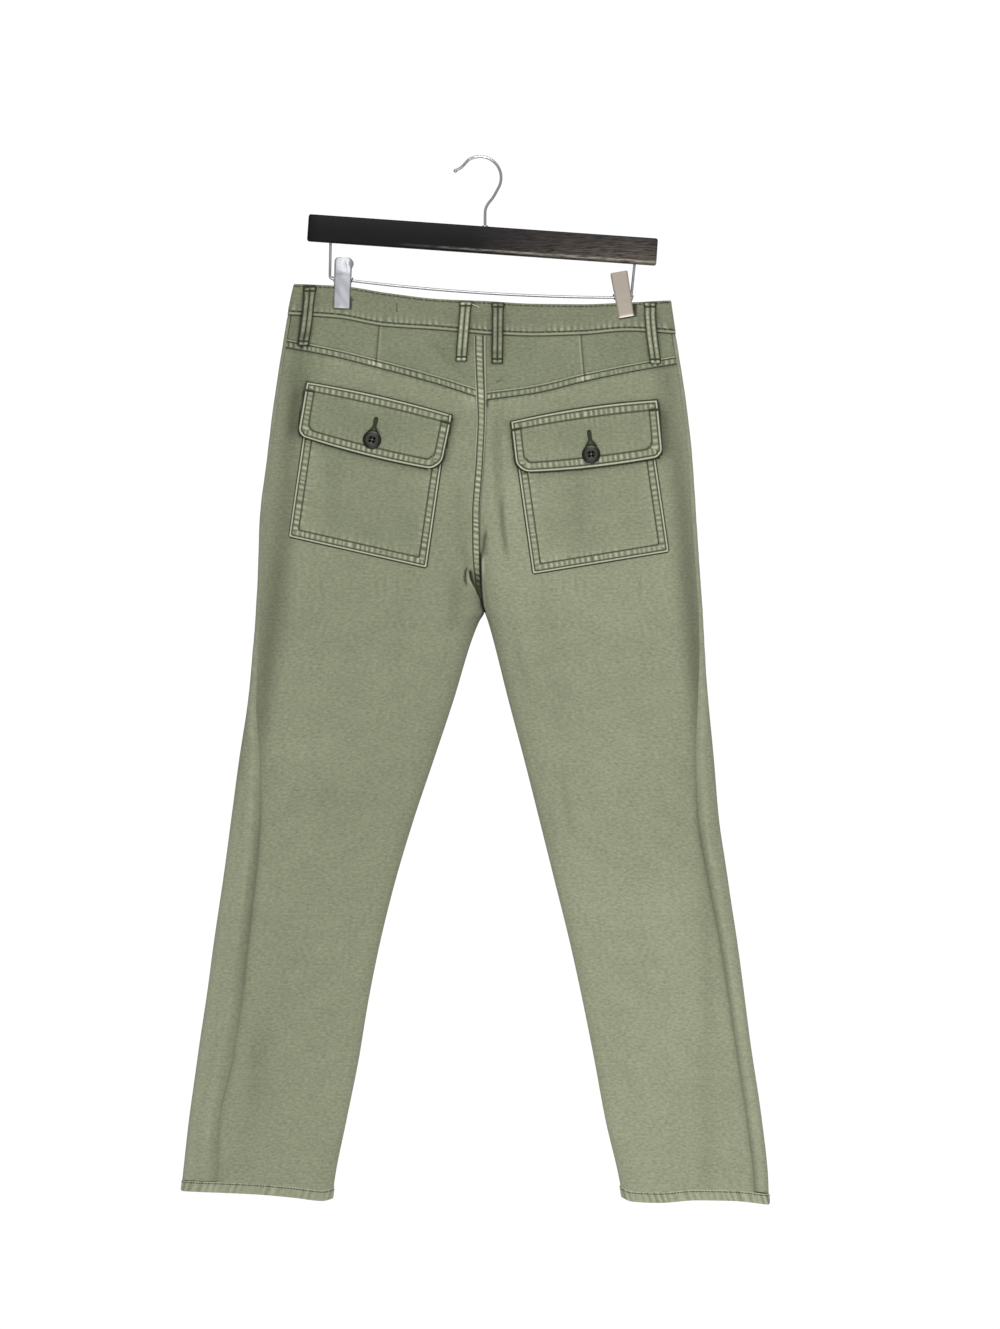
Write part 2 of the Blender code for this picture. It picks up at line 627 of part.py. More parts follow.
def patch_grid(patch, rows, columns):
    """Places on a patch, by rows from the top and columns from the outer side, as x and drop."""
    corners = [np.array(patch[key], float) for key in ("top_out", "top_in", "foot_out", "foot_in")]
    top_out, top_in, foot_out, foot_in = corners
    height = np.linalg.norm(foot_out - top_out)
    width = np.linalg.norm(foot_in - foot_out)
    down = np.asarray(rows)[:, None]
    out = rounded(down, patch["round_out"], height) / width
    in_ = rounded(down, patch["round_in"], height) / width
    across = out + (1 - out - in_) * np.linspace(0, 1, columns)
    spot = ((top_out * (1 - across[..., None]) + top_in * across[..., None]) * (1 - down[..., None])
            + (foot_out * (1 - across[..., None]) + foot_in * across[..., None]) * down[..., None])
    bow = patch["bow"] * down * 4 * across * (1 - across)
    return spot[..., 0], spot[..., 1] + bow


def corner_rows(flat_rows, height, radius):
    """Rows down a patch: even above its foot's corners, then by equal turns round them."""
    start = 1 - radius / height
    turns = np.linspace(0, QUARTER_TURN, 6)[1:]
    return np.concatenate([np.linspace(0, start, flat_rows), start + (1 - start) * np.sin(turns)])


def add_pocket(name, patch):
    height = math.dist(patch["top_in"], patch["foot_in"])
    x, drop = patch_grid(patch, corner_rows(9, height, patch["round_in"]), 11)
    add_patch(name, "back", x, drop, LAY_GAP, POCKET_CLOTH, "trim")


def add_flap(name, patch):
    """A flap sewn down along its top, that lies over the pocket below."""
    height = math.dist(patch["top_in"], patch["foot_in"])
    hinge_rows = np.linspace(0, FLAP_HINGE * 0.8, 4) / height
    rows = np.concatenate([hinge_rows, corner_rows(5, height, patch["round_in"])[1:]])
    rows.sort()
    x, drop = patch_grid(patch, rows, 13)
    lift = LAY_GAP + (FLAP_LIFT - LAY_GAP) * ease(rows[:, None] * height / FLAP_HINGE)
    add_patch(name, "back", x, drop, lift, FLAP_CLOTH, "trim")


def add_loop(name, face, top, foot):
    """A folded strip sewn at both ends, that stands away from the waistband between them."""
    length = math.dist(top, foot)
    tack, slope = LOOP_TACK, LOOP_SLOPE
    marks = [0, tack, tack + slope / 3, tack + slope * 2 / 3, tack + slope]
    marks = np.array(marks + [length / 2] + [length - mark for mark in marks[::-1]])
    share = marks / length
    x = top[0] + (foot[0] - top[0]) * share
    drop = top[1] + (foot[1] - top[1]) * share
    surface, normal, down = face_frame(face, x, drop)
    from_end = np.minimum(marks, length - marks)
    standing = ease((from_end - tack) / slope)
    ends = np.where(marks < length / 2, BAND_RISE, 0) + LAY_GAP
    lift = ends * (1 - standing) + (BAND_RISE + LOOP_LIFT) * standing
    across = np.cross(normal, down)
    widths = np.linspace(-0.5, 0.5, 3) * LOOP_WIDTH
    inside = (surface + normal * lift[:, None])[:, None] + across[:, None] * widths[:, None]
    outside = inside + normal[:, None] * LOOP_CLOTH
    add_wall(name, outside, inside, "trim")


def add_button(name, face, x, drop, lift):
    """A rimmed disc on its seat, square to the cloth."""
    surface, normal, _ = face_frame(face, np.float64(x), np.float64(drop))
    profile = [(BUTTON["radius"] * out, BUTTON["height"] * up) for out, up in BUTTON_OUTLINE]
    add_turned(name, profile, surface + normal * lift, normal, "button")


def add_fly_lap():
    """The lap over the front opening, from the waistband down, its foot curving to the seam."""
    centre = section("left_in", 260.0) - SEAM_GAP
    top = float(front_seam("band_foot", 0.0)) + SEAM_GAP + LAY_GAP
    outer, foot = centre - LAP["width"], top + LAP["length"]
    patch = {"top_out": (outer, top - LAP["top_slant"]), "top_in": (centre, top),
             "foot_out": (outer, foot), "foot_in": (centre - LAP["foot_lean"], foot),
             "bow": 0.0, "round_out": LAP["corner"], "round_in": 1.5}
    x, drop = patch_grid(patch, corner_rows(8, LAP["length"], patch["round_out"]), 5)
    add_patch("fly_lap", "front", x, drop, LAY_GAP, CLOTH, "trim")


def add_trousers():
    for side_name, side in SIDES.items():
        add_back_panel(f"back_panel_{side_name}", side)
        add_front_panel(f"front_panel_{side_name}", side)
        add_yoke(f"yoke_{side_name}_inner", side, YOKE_SPLIT[side_name], False)
        add_yoke(f"yoke_{side_name}_outer", side, YOKE_SPLIT[side_name], True)
        add_pocket(f"back_pocket_{side_name}", POCKETS[side_name])
        add_flap(f"pocket_flap_{side_name}", FLAPS[side_name])
        seat = FLAP_LIFT + FLAP_CLOTH + SEAM_GAP
        add_button(f"flap_button_{side_name}", "back", *FLAP_BUTTONS[side_name], seat)
    add_waistband()
    add_fly_lap()
    add_button("waist_button", "front", *WAIST_BUTTON, BAND_RISE + LAY_GAP)
    for number, (face, top, foot) in enumerate(LOOP_ROWS, start=1):
        add_loop(f"belt_loop_{number}", face, top, foot)


# The hanger

def in_plane(points):
    """Points given as (x, drop), in the plane between back and front."""
    points = np.asarray(points, float)
    return np.stack([points[:, 0], np.zeros(len(points)), -points[:, 1]], axis=-1)


def spline(points, steps):
    """A curve through points, evenly stepped between each two."""
    points = np.asarray(points, float)
    padded = np.concatenate([[2 * points[0] - points[1]], points, [2 * points[-1] - points[-2]]])
    t = (np.arange(steps) / steps)[:, None]
    runs = []
    for before, start, stop, after in zip(padded[:-3], padded[1:-2], padded[2:-1], padded[3:]):
        lean = (stop - before) / 2
        lean_next = (after - start) / 2
        runs.append(start + lean * t + (3 * (stop - start) - 2 * lean - lean_next) * t ** 2
                    + (2 * (start - stop) + lean + lean_next) * t ** 3)
    return np.concatenate([*runs, points[-1:]])


def bar_face(x, way):
    """Drop of the bar's top (way -1) or underside (way 1) at a place along it."""
    lean = math.radians(BAR["lean"])
    return BAR["middle"][1] + (x - BAR["middle"][0]) * math.tan(lean) + way * BAR["height"] / 2 / math.cos(lean)


def add_hanger_bar():
    """A wooden bar of rectangular section with its long edges rounded."""
    lean = math.radians(BAR["lean"])
    along = np.array((math.cos(lean), 0, -math.sin(lean)))
    up = np.array((math.sin(lean), 0, math.cos(lean)))
    across = np.array((0.0, 1.0, 0.0))
    outline = []
    for corner in range(4):
        for turn in np.radians([0, 45, 90]) + corner * QUARTER_TURN:
            quarter = (corner + 0.5) * QUARTER_TURN
            middle_y = math.copysign(BAR["depth"] / 2 - BAR["round"], math.cos(quarter))
            middle_z = math.copysign(BAR["height"] / 2 - BAR["round"], math.sin(quarter))
            outline.append(across * (middle_y + BAR["round"] * math.cos(turn))
                           + up * (middle_z + BAR["round"] * math.sin(turn)))
    middle = in_plane([BAR["middle"]])[0]
    half = along * BAR["length"] / 2
    add_bar("hanger_bar", np.array(outline), (middle - half, middle + half), "wood")


def add_hanger_hook():
    """Chrome wire: a flared tip, an arc over the origin, and a shank down to the bar."""
    radius = HOOK["radius"]
    turn = np.radians(np.linspace(HOOK["arc_start"], HOOK["arc_end"], 8))
    arc = np.stack([radius * np.cos(turn), radius - HOOK["wire"] - radius * np.sin(turn)], axis=-1)
    shank_x = HOOK_SHANK[-1][0]
    foot = (shank_x, bar_face(shank_x, -1) - LAY_GAP)
    path = spline(np.concatenate([HOOK_FLARE, arc, HOOK_SHANK, [foot]]), 2)
    add_rod("hanger_hook", in_plane(path), HOOK["wire"], "chrome")


def wire_drop(x):
    """Drop of the wire's lower run at a place along it."""
    (left_x, left_drop), (right_x, right_drop) = WIRE["left"], WIRE["right"]
    return left_drop + (x - left_x) * (right_drop - left_drop) / (right_x - left_x)


def add_hanger_wire():
    """Wire from one end of the bar to the other, bent square under each end."""
    bends = []
    for name, way in (("left", 1), ("right", -1)):
        corner = np.array(WIRE[name])
        top_x = corner[0] + WIRE["top_shift"][0 if way > 0 else 1]
        top = np.array((top_x, bar_face(top_x, 1) + LAY_GAP))
        inward = corner[0] + way * WIRE["bend"]
        start = corner + (top - corner) / np.linalg.norm(top - corner) * WIRE["bend"]
        stop = np.array((inward, wire_drop(inward)))
        t = np.linspace(0, 1, 7)[:, None]
        curve = start * (1 - t) ** 2 + 2 * corner * t * (1 - t) + stop * t ** 2
        run = np.concatenate([[top], curve])
        bends.append(run if way > 0 else run[::-1])
    add_rod("hanger_wire", in_plane(np.concatenate(bends)), WIRE["radius"], "chrome", 8)


def add_clip(name, clip):
    """Two sheet jaws that pivot on a spring round the wire and hold the waistband between them.

    A jaw's bends are given as (distance down from the pivot, distance out from the middle plane).
    """
    pivot = in_plane([(clip["x"], wire_drop(clip["x"]))])[0]
    lean = math.radians(clip["lean"])
    down = np.array((-math.sin(lean), 0, -math.cos(lean)))
    sideways = np.array((math.cos(lean), 0, -math.sin(lean)))
    at_pivot = SPRING["outer"] + SEAM_GAP
    at_cloth = PINCH["half_depth"] + BAND_RISE + SEAM_GAP
    above, below = clip["above"], clip["below"]
    bends = ((-above, JAW["lever_spread"]), (-above * 0.55, JAW["neck_spread"]),
             (-SPRING["outer"] * 2, at_pivot), (SPRING["outer"], at_pivot), (JAW["hold_start"], at_cloth),
             (below - JAW["curl_length"], at_cloth), (below, at_cloth + JAW["tip_curl"]))
    for part, way in (("outer", -1), ("inner", 1)):
        near = [down * along + (0, way * out, 0) for along, out in bends]
        far = [down * along + (0, way * (out + JAW["metal"]), 0) for along, out in bends[::-1]]
        half = sideways * JAW["width"] / 2
        add_bar(f"clip_{name}_{part}_jaw", np.array(near + far), (pivot - half, pivot + half), "clip")
    (left_x, left_drop), (right_x, right_drop) = WIRE["left"], WIRE["right"]
    along = unit(np.array((right_x - left_x, 0, left_drop - right_drop)))
    add_ring(f"clip_{name}_spring", pivot, along)


def add_ring(name, place, along):
    """The spring as a sleeve round the wire."""
    across = np.array((0.0, 1.0, 0.0))
    outward = np.cross(along, across)
    sides = 16
    half = SPRING["length"] / 2
    profile = ((SPRING["inner"], -half), (SPRING["outer"], -half), (SPRING["outer"], half),
               (SPRING["inner"], half))
    turn = np.linspace(0, 2 * math.pi, sides, endpoint=False)
    ring = np.cos(turn)[:, None] * outward + np.sin(turn)[:, None] * across
    points = np.concatenate([place + ring * radius + along * height for radius, height in profile])
    faces = []
    for level in range(len(profile)):
        low = level * sides
        high = (level + 1) % len(profile) * sides
        for k in range(sides):
            after = (k + 1) % sides
            faces.append((low + k, low + after, high + after, high + k))
    add_mesh(name, points, faces, "chrome")


def add_hanger():
    add_hanger_bar()
    add_hanger_hook()
    add_hanger_wire()
    for name, clip in CLIPS.items():
        add_clip(name, clip)


for thing in list(bpy.data.objects):
    bpy.data.objects.remove(thing, do_unlink=True)
add_trousers()
add_hanger()
bpy.context.view_layer.update()
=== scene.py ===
import math
import bpy
import numpy as np
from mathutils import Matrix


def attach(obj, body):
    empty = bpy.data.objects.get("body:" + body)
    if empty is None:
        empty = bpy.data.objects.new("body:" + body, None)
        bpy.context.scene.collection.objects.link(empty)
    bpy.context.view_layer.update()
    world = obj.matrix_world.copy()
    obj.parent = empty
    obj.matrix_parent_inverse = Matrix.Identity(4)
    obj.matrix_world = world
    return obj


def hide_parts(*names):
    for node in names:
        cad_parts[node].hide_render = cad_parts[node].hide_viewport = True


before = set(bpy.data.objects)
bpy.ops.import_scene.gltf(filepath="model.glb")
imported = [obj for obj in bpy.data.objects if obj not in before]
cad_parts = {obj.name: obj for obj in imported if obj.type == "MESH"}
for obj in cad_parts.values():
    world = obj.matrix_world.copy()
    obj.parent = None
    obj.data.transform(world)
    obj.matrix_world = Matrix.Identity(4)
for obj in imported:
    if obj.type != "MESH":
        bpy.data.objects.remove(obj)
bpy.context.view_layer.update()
mm = 0.001  # sizes below are in millimetres; drop is the depth below the origin

# the form of the trousers, as the solids have it
form = {"seamGap": 0.3, "layGap": 0.5, "cloth": 1.2, "bandRise": 0.8, "hemDepth": 11.0, "frontHang": 18.0,
        "frontHemLift": 2.0, "crotch": 474.0, "riseStart": 345.0, "crotchRound": 62.0, "inseamRound": 30.0,
        "innerEnd": 0.26, "outerStart": 0.58, "topRow": 232.0, "footRow": 1085.0, "followHem": 860.0,
        "bandMiddle": 160.0}
sectionColumns = ("drop", "leftOut", "leftIn", "rightIn", "rightOut", "back", "front", "edge",
                  "leftRoll", "rightRoll")
sectionRows = (
    (125, -192.0, 6.5, 6.5, 196.0, 6.0, 6.0, 20, 4, 4),
    (152, -198.0, 6.5, 6.5, 199.0, 7.0, 6.5, 22, 4, 4),
    (190, -204.5, 6.5, 6.5, 204.5, 10.0, 8.5, 27, 4, 4),
    (252, -214.0, 7.2, 7.2, 214.0, 17.0, 13.0, 36, 4, 4),
    (315, -222.0, 4.6, 4.6, 221.1, 22.0, 16.5, 42, 4, 4),
    (378, -229.5, 0.4, 0.4, 225.3, 24.5, 19.0, 45, 4, 4),
    (440, -231.5, 0.6, 0.6, 229.5, 24.5, 20.0, 44, 4, 4),
    (466, -233.0, 2.6, 2.6, 231.5, 24.0, 19.5, 43, 4, 4),
    (474, -233.5, 4.7, 4.7, 232.0, 23.8, 19.2, 43, 4.2, 4.2),
    (482, -234.0, 0.2, 7.6, 232.5, 23.4, 19.0, 43, 4.5, 4.5),
    (503, -235.7, -8.3, 13.6, 233.6, 22.4, 18.3, 43, 5, 5),
    (565, -242.0, -27.1, 29.2, 238.0, 20.0, 17.0, 43, 9, 11),
    (628, -251.4, -48.0, 45.9, 244.1, 18.0, 16.0, 44, 22, 19),
    (690, -259.7, -68.8, 61.5, 249.5, 16.5, 15.0, 45, 31, 22),
    (753, -268.1, -87.6, 77.2, 258.7, 15.0, 14.0, 46, 34, 20.5),
    (816, -277.4, -103.3, 92.8, 268.1, 14.0, 13.0, 46, 36, 18),
    (878, -285.8, -115.8, 106.4, 276.4, 13.0, 12.5, 46, 37.5, 16.5),
    (941, -295.2, -126.2, 118.9, 284.7, 12.5, 12.0, 46, 37.5, 15.5),
    (1003, -303.5, -138.7, 130.4, 294.1, 12.0, 12.0, 45, 32, 15.5),
    (1066, -310.6, -151.2, 145.0, 300.8, 12.0, 12.0, 46, 36, 15),
    (1095, -313.0, -154.5, 149.5, 301.6, 12.0, 12.0, 46, 38, 15),
)
seamColumns = ("across", "waistTop", "bandFoot", "yokeFoot")
seamRows = (
    (-1.0, 131.5, 163.8, 197.7),
    (-0.75, 133.7, 167.1, 207.6),
    (-0.5, 141.3, 176.1, 220.9),
    (-0.25, 147.3, 179.7, 235.7),
    (0.0, 149.5, 184.4, 253.3),
    (0.25, 152.3, 186.2, 246.1),
    (0.5, 152.8, 184.8, 233.9),
    (0.75, 151.0, 180.8, 223.6),
    (1.0, 148.6, 183.6, 214.9),
)
centreRow = 4
hemColumns = ("along", "left", "right")
hemRows = (
    (0.0, 1085.0, 1084.0),
    (0.06, 1087.2, 1087.8),
    (0.25, 1083.8, 1089.1),
    (0.5, 1080.3, 1086.4),
    (0.75, 1078.5, 1087.0),
    (1.0, 1077.3, 1091.6),
)
sections = dict(zip(sectionColumns, zip(*sectionRows)))
crossSeams = dict(zip(seamColumns, zip(*seamRows)))
hems = dict(zip(hemColumns, zip(*hemRows)))
sideOf = {"left": -1, "right": 1}
quarterTurn = math.pi / 2

# Soft creases, each along a line from (x, drop) to (x, drop), bowed sideways; a negative depth is a
# ridge, and shade is the painted shade along its middle
creaseColumns = ("topX", "topDrop", "footX", "footDrop", "bow", "width", "depth", "shade")
creaseRows = {
    "back": (
        (-150, 640, -205, 900, 0, 20, 1.6, 0), (120, 560, 180, 800, 0, 22, 1.6, 0),
        (-70, 560, -150, 760, 0, 19, 1.2, 0), (24, 235, 27, 424, -6, 5.0, 1.5, 0.13),
        (22, 350, 30, 424, -2, 2.4, 1.3, 0.46), (15, 262, 22, 376, -1, 5, 1.1, 0.14),
        (4, 388, 6, 420, 0, 4.5, 1.2, 0.2), (6.8, 386, 1.0, 422, 0, 1.3, 1.2, 0.5),
        (-190, 232, -199, 300, 0, 5.5, 0.8, 0.34), (-26, 262, -41, 330, 0, 4.5, 0.8, 0.26),
        (190.5, 256, 195, 316, 0, 4.5, 0.6, 0.28), (-153, 300, -157, 402, 1, 8, 0.7, 0.1),
        (102, 318, 104, 410, 1, 8, 0.7, 0.13), (-24, 330, -20, 430, 2, 8, 1.0, 0.14),
        (-26, 424, -30, 500, 2, 8, 1.2, 0.2), (7.4, 252, 8.0, 262, 0, 1.2, 0.3, 0.85),
        (15, 234.2, 25.5, 231.4, 0, 1.0, 0.3, 0.5), (-12.4, 425, -13.0, 448.5, -2.8, 1.0, 0.8, 1.3),
        (13, 440, 22, 474, 1, 1.4, -0.6, 0), (-60, 186, -12, 234, 2, 3.5, 1.1, 0.14),
        (-78, 190, -34, 246, 1, 5, -1.0, 0), (-100, 196, -50, 250, 1, 6, 0.8, 0.08),
        (12, 300, 10, 392, 2, 4.5, -0.9, 0), (5, 380, 1, 424, 1, 2.6, 0.9, 0.12),
        (11, 405, 31, 512, -2, 6.5, -1.5, 0), (22, 448, 60, 590, -3, 8, 1.5, 0.1),
        (60, 440, 84, 620, 3, 17, 1.7, 0.08), (82, 628, 98, 720, 1, 3.4, 1.0, 0.14),
        (70, 630, 84, 716, 1, 5.5, -0.9, 0), (-22, 418, -37, 512, 2, 5, -0.9, 0),
        (-17, 402, -14, 446, 1, 3.4, 1.2, 0.16), (-2, 428, 5, 480, 1, 3.4, 6.0, 0.1),
        (-80, 415, -93, 560, 2, 10, 0.8, 0.05), (-130, 470, -150, 640, 3, 14, 0.9, 0.04),
        (-198, 300, -213, 520, 2, 9, 2.4, 0.02), (-210, 440, -250, 680, 4, 12, 2.8, 0.02),
        (208, 300, 216, 500, 0, 8, 1.8, 0.02), (214, 430, 238, 640, -2, 9.5, 2.4, 0.02),
        (-190, 760, -225, 980, 3, 16, 1.1, 0.03), (-232, 900, -250, 1060, 2, 9, 1.1, 0.06),
        (-160, 820, -190, 1010, -3, 18, 0.8, 0), (150, 760, 196, 960, -3, 18, 1.2, 0.03),
        (205, 640, 262, 900, 3, 15, 1.0, 0.03), (128, 870, 170, 1040, 2, 11, 1.0, 0.04),
        (250, 940, 272, 1060, 0, 10, 0.9, 0.03),
    ),
    "front": (
        (-90, 230, -20, 440, 0, 17, 2.2, 0.05), (95, 230, 25, 440, 0, 17, 2.2, 0.05),
        (-60, 250, -12, 400, 3, 8, 1.4, 0.06), (62, 262, 14, 410, -3, 8, 1.3, 0.06),
        (-14, 396, -60, 500, 0, 7, 1.6, 0.12), (22, 398, 64, 496, 0, 7, 1.5, 0.12),
        (-150, 620, -215, 940, 0, 22, 1.8, 0), (130, 600, 200, 920, 0, 22, 1.8, 0),
        (-120, 480, -170, 700, 4, 12, 1.2, 0.04), (110, 500, 150, 690, -4, 13, 1.1, 0.04),
        (-200, 700, -236, 980, -3, 13, 1.2, 0.04), (196, 720, 240, 1000, 3, 12, 1.1, 0.04),
    ),
}
creases = {face: [dict(zip(creaseColumns, row)) for row in rows] for face, rows in creaseRows.items()}
# painted shade in long dark bands down both sides of the seat and thighs; their outer edges stay lighter
bands = (
    {"drop": (150, 195, 252, 325, 378, 461, 524, 607, 659, 720),
     "x": (-180, -187, -194, -199, -204.4, -213.8, -222, -232.6, -240, -247),
     "width": (12, 12, 12, 12, 12, 12, 12, 11, 10, 9),
     "shade": (0.14, 0.22, 0.33, 0.35, 0.38, 0.44, 0.45, 0.34, 0.15, 0)},
    {"drop": (150, 200, 272, 363, 440, 516, 598, 678, 740),
     "x": (184, 192, 198, 211.7, 219, 225, 231.5, 233, 236),
     "width": (12, 12, 12, 12, 12, 12, 11, 9, 8),
     "shade": (0.14, 0.24, 0.32, 0.43, 0.53, 0.58, 0.52, 0.33, 0.1)},
)
# broad paler (or, below 0, darker) places, partly the washed cloth's own tone and partly painted light
# and shade: middle, half width, half height, strength
toneColumns = ("x", "drop", "wide", "tall", "fade")
toneRows = (
    (37, 378, 22, 90, 0.2), (71, 419, 18, 18, 0.25), (115, 461, 70, 26, 0.05), (150, 778, 52, 24, 0.14),
    (200, 800, 22, 54, 0.16), (188, 899, 42, 36, 0.12), (-230, 940, 16, 62, -0.24), (-188, 617, 44, 17, 0.1),
    (-8, 250, 10, 12, 0.5), (-172, 340, 20, 44, 0.1), (72, 356, 20, 44, 0.06), (140, 346, 22, 44, 0.04),
    (-150, 268, 24, 16, 0.06), (-60, 292, 14, 14, 0.1), (70, 306, 22, 16, 0.06), (150, 292, 22, 18, 0.06),
    (-167, 670, 38, 22, -0.12), (-190, 195, 24, 44, -0.5), (-60, 300, 26, 60, 0.08), (120, 640, 60, 60, 0.08),
    (-30, 250, 30, 30, 0.05), (150, 1010, 40, 40, 0.08), (-120, 980, 50, 60, 0.06),
)
tones = [dict(zip(toneColumns, row)) for row in toneRows]
outseamSink = {"depth": 1.3, "halfWidth": 6.0, "start": 600.0, "full": 700.0}
pinchedAt = {"left": -143.2, "right": 149.3, "halfDepth": 2.2, "flat": 13.0, "reach": 62.0,
             "fadeTop": 168.0, "fadeFoot": 236.0}


# a smooth curve through a table's rows that never swings past them: cubic steps with the harmonic mean slope
def through(stations, values, at):
    x = np.asarray(stations, float)
    y = np.asarray(values, float)
    at = np.clip(np.asarray(at, float), x[0], x[-1])
    step = np.diff(x)
    slope = np.diff(y) / step
    bend = np.zeros_like(y)
    total = np.where(slope[1:] * slope[:-1] > 0, slope[1:] + slope[:-1], 1)
    bend[1:-1] = np.where(slope[1:] * slope[:-1] > 0, 2 * slope[1:] * slope[:-1] / total, 0)
    bend[0] = slope[0]
    bend[-1] = slope[-1]
    row = np.clip(np.searchsorted(x, at, side="right") - 1, 0, len(x) - 2)
    t = (at - x[row]) / step[row]
    rise = y[row] + (y[row + 1] - y[row]) * t * t * (3 - 2 * t)
    return rise + step[row] * (bend[row] * t * (1 - t) ** 2 + bend[row + 1] * t * t * (t - 1))


# a cubic step: 0 below 0, 1 above 1, and level at both ends
def ease(value):
    value = np.clip(value, 0, 1)
    return value * value * (3 - 2 * value)


# a cubic step from 0 at the start to 1 at the stop, which may be the lower of the two
def ramp(value, start, stop):
    return ease((value - start) / (stop - start))


# a bell: e to the minus square of the distance in widths
def hump(distance, width):
    return np.exp(-(distance / width) ** 2)


# a sum of bells along a distance, from rows of (strength, place, width)
def bells(distance, *rows):
    return sum(strength * hump(distance - place, width) for strength, place, width in rows)


# a column of the table of sections, at a drop
def section(name, drop):
    return through(sections["drop"], sections[name], drop)


# the left or the right column of the sections, by side
def bySide(side, name, drop):
    return np.where(np.asarray(side) < 0, section("left" + name, drop), section("right" + name, drop))


# drop of a seam that crosses the back: a smooth curve on each side of the centre
def crossSeam(name, across):
    stations = crossSeams["across"]
    values = crossSeams[name]
    left = through(stations[:centreRow + 1], values[:centreRow + 1], across)
    right = through(stations[centreRow:], values[centreRow:], across)
    return np.where(np.asarray(across) < 0, left, right)


# the same seam across the front: a straight line between its ends, with a parabola's sag
def frontSeam(name, across):
    share = (1 + across) / 2
    level = crossSeam(name, -1.0) * (1 - share) + crossSeam(name, 1.0) * share
    return level + form["frontHang"] * (1 - across ** 2)


# drop of a leg's foot, from the inseam at 0 to the outer edge at 1
def hemDrop(side, along):
    return through(hems["along"], hems["left" if side < 0 else "right"], along)


# 1 where back and front stand apart at the centre seam, falling along a quarter circle to 0 at the crotch
def openness(drop):
    fall = np.clip((drop - form["riseStart"]) / (form["crotch"] - form["riseStart"]), 0, 1)
    return np.sqrt(1 - fall ** 2)


# x of a half's inner edge: the table's, less half a seam's gap where the halves meet
def innerEdge(side, drop):
    return bySide(side, "In", drop) + side * (form["seamGap"] / 2) * (1 - openness(drop))


# width of the inner round, from the inseam's where it is shut to the crotch's where it is open
def innerRound(drop):
    return form["inseamRound"] + (form["crotchRound"] - form["inseamRound"]) * openness(drop)


# 1 where a clip presses back and front together, easing to 0 away from it
def pinch(x, drop):
    held = np.zeros(np.broadcast(x, drop).shape)
    for side in sideOf:
        held = np.maximum(held, 1 - ramp(np.abs(x - pinchedAt[side]), pinchedAt["flat"], pinchedAt["reach"]))
    return held * (1 - ramp(drop, pinchedAt["fadeTop"], pinchedAt["fadeFoot"]))


# each crease is a bell across its line, eased in and out along it; weight is its depth or its painted shade
def creaseSum(face, x, drop, weight="depth"):
    depth = np.zeros(np.broadcast(x, drop).shape)
    for crease in creases[face]:
        right, down = x - crease["topX"], drop - crease["topDrop"]
        alongX, alongDrop = crease["footX"] - crease["topX"], crease["footDrop"] - crease["topDrop"]
        length = math.hypot(alongX, alongDrop)
        share = (right * alongX + down * alongDrop) / length ** 2
        aside = (right * alongDrop - down * alongX) / length
        inside = np.clip(share, 0, 1)
        aside = aside - crease["bow"] * 4 * inside * (1 - inside)
        depth += crease[weight] * hump(aside, crease["width"]) * ease(share * 4) * ease((1 - share) * 4)
    return depth


# the fold left of the crotch, in painted light and shade: a dark line that runs into the joint, shade from
# there to the joint, a painted highlight on the lip on its other side, black shade along the joint, and a
# soft shade below; rows of (strength, place, width)
wedge = {"drop": (426, 432.1, 438.5, 444.7, 448.4, 454.6, 460, 474),
         "line": (-11, -10.3, -9.4, -6.7, -4.5, -0.8, 2.0, 4.4), "lineShade": (1.7, 0, 1.1),
         "nearShade": 0.75, "hollow": (2.6, 0.3, 1.3), "below": 0.55, "belowReach": 7,
         "lip": (0.38, -2.4, 0.9), "farLip": (0.32, -2.6, 1.5)}


# bells across the distances from the fold's line and from the joint, stepped in and out down the seam;
# the first value is the painted shade, the second the painted highlight
def wedgeMarks(x, drop):
    inside = section("leftIn", drop) - x
    away = x - through(wedge["drop"], wedge["line"], drop)
    tall = ramp(drop, 428, 433) * ramp(drop, 462, 456) * (inside > 0)
    hollow = bells(inside, wedge["hollow"]) * ramp(drop, 408, 420) * ramp(drop, 482, 476)
    below = wedge["below"] * np.exp(-np.maximum(inside, 0) / wedge["belowReach"]) * (inside > 0)
    below = below * ramp(drop, 444, 456) * ramp(drop, 500, 478)
    fold = bells(away, wedge["lineShade"]) + wedge["nearShade"] * ramp(away, -0.4, 0.4)
    lip = tall * bells(away, wedge["lip"]) * ramp(drop, 452, 442)
    lip = lip + bells(inside, wedge["farLip"]) * ramp(drop, 410, 418)
    return tall * fold + hollow + below, lip * ramp(drop, 500, 470)


# the painted shade of the dark side bands: bells across lines that bend down the leg
def bandSum(x, drop):
    shade = 0 * x
    for band in bands:
        middle, width, dark = (through(band["drop"], band[key], drop) for key in ("x", "width", "shade"))
        shade = shade + dark * hump(x - middle, width)
    return shade


# how deep the back is sunk beside the outseam: a bell across it, deeper down the leg
def outseamDip(side, x, drop):
    seam = bySide(side, "Out", drop) - side * bySide(side, "Roll", drop)
    deep = outseamSink["depth"] * ramp(drop, outseamSink["start"], outseamSink["full"])
    return deep * hump(x - seam, outseamSink["halfWidth"])


# how far in from a half's outer edge
def fromOuterEdge(side, x, drop):
    return np.maximum((bySide(side, "Out", drop) - x) * side, 0)


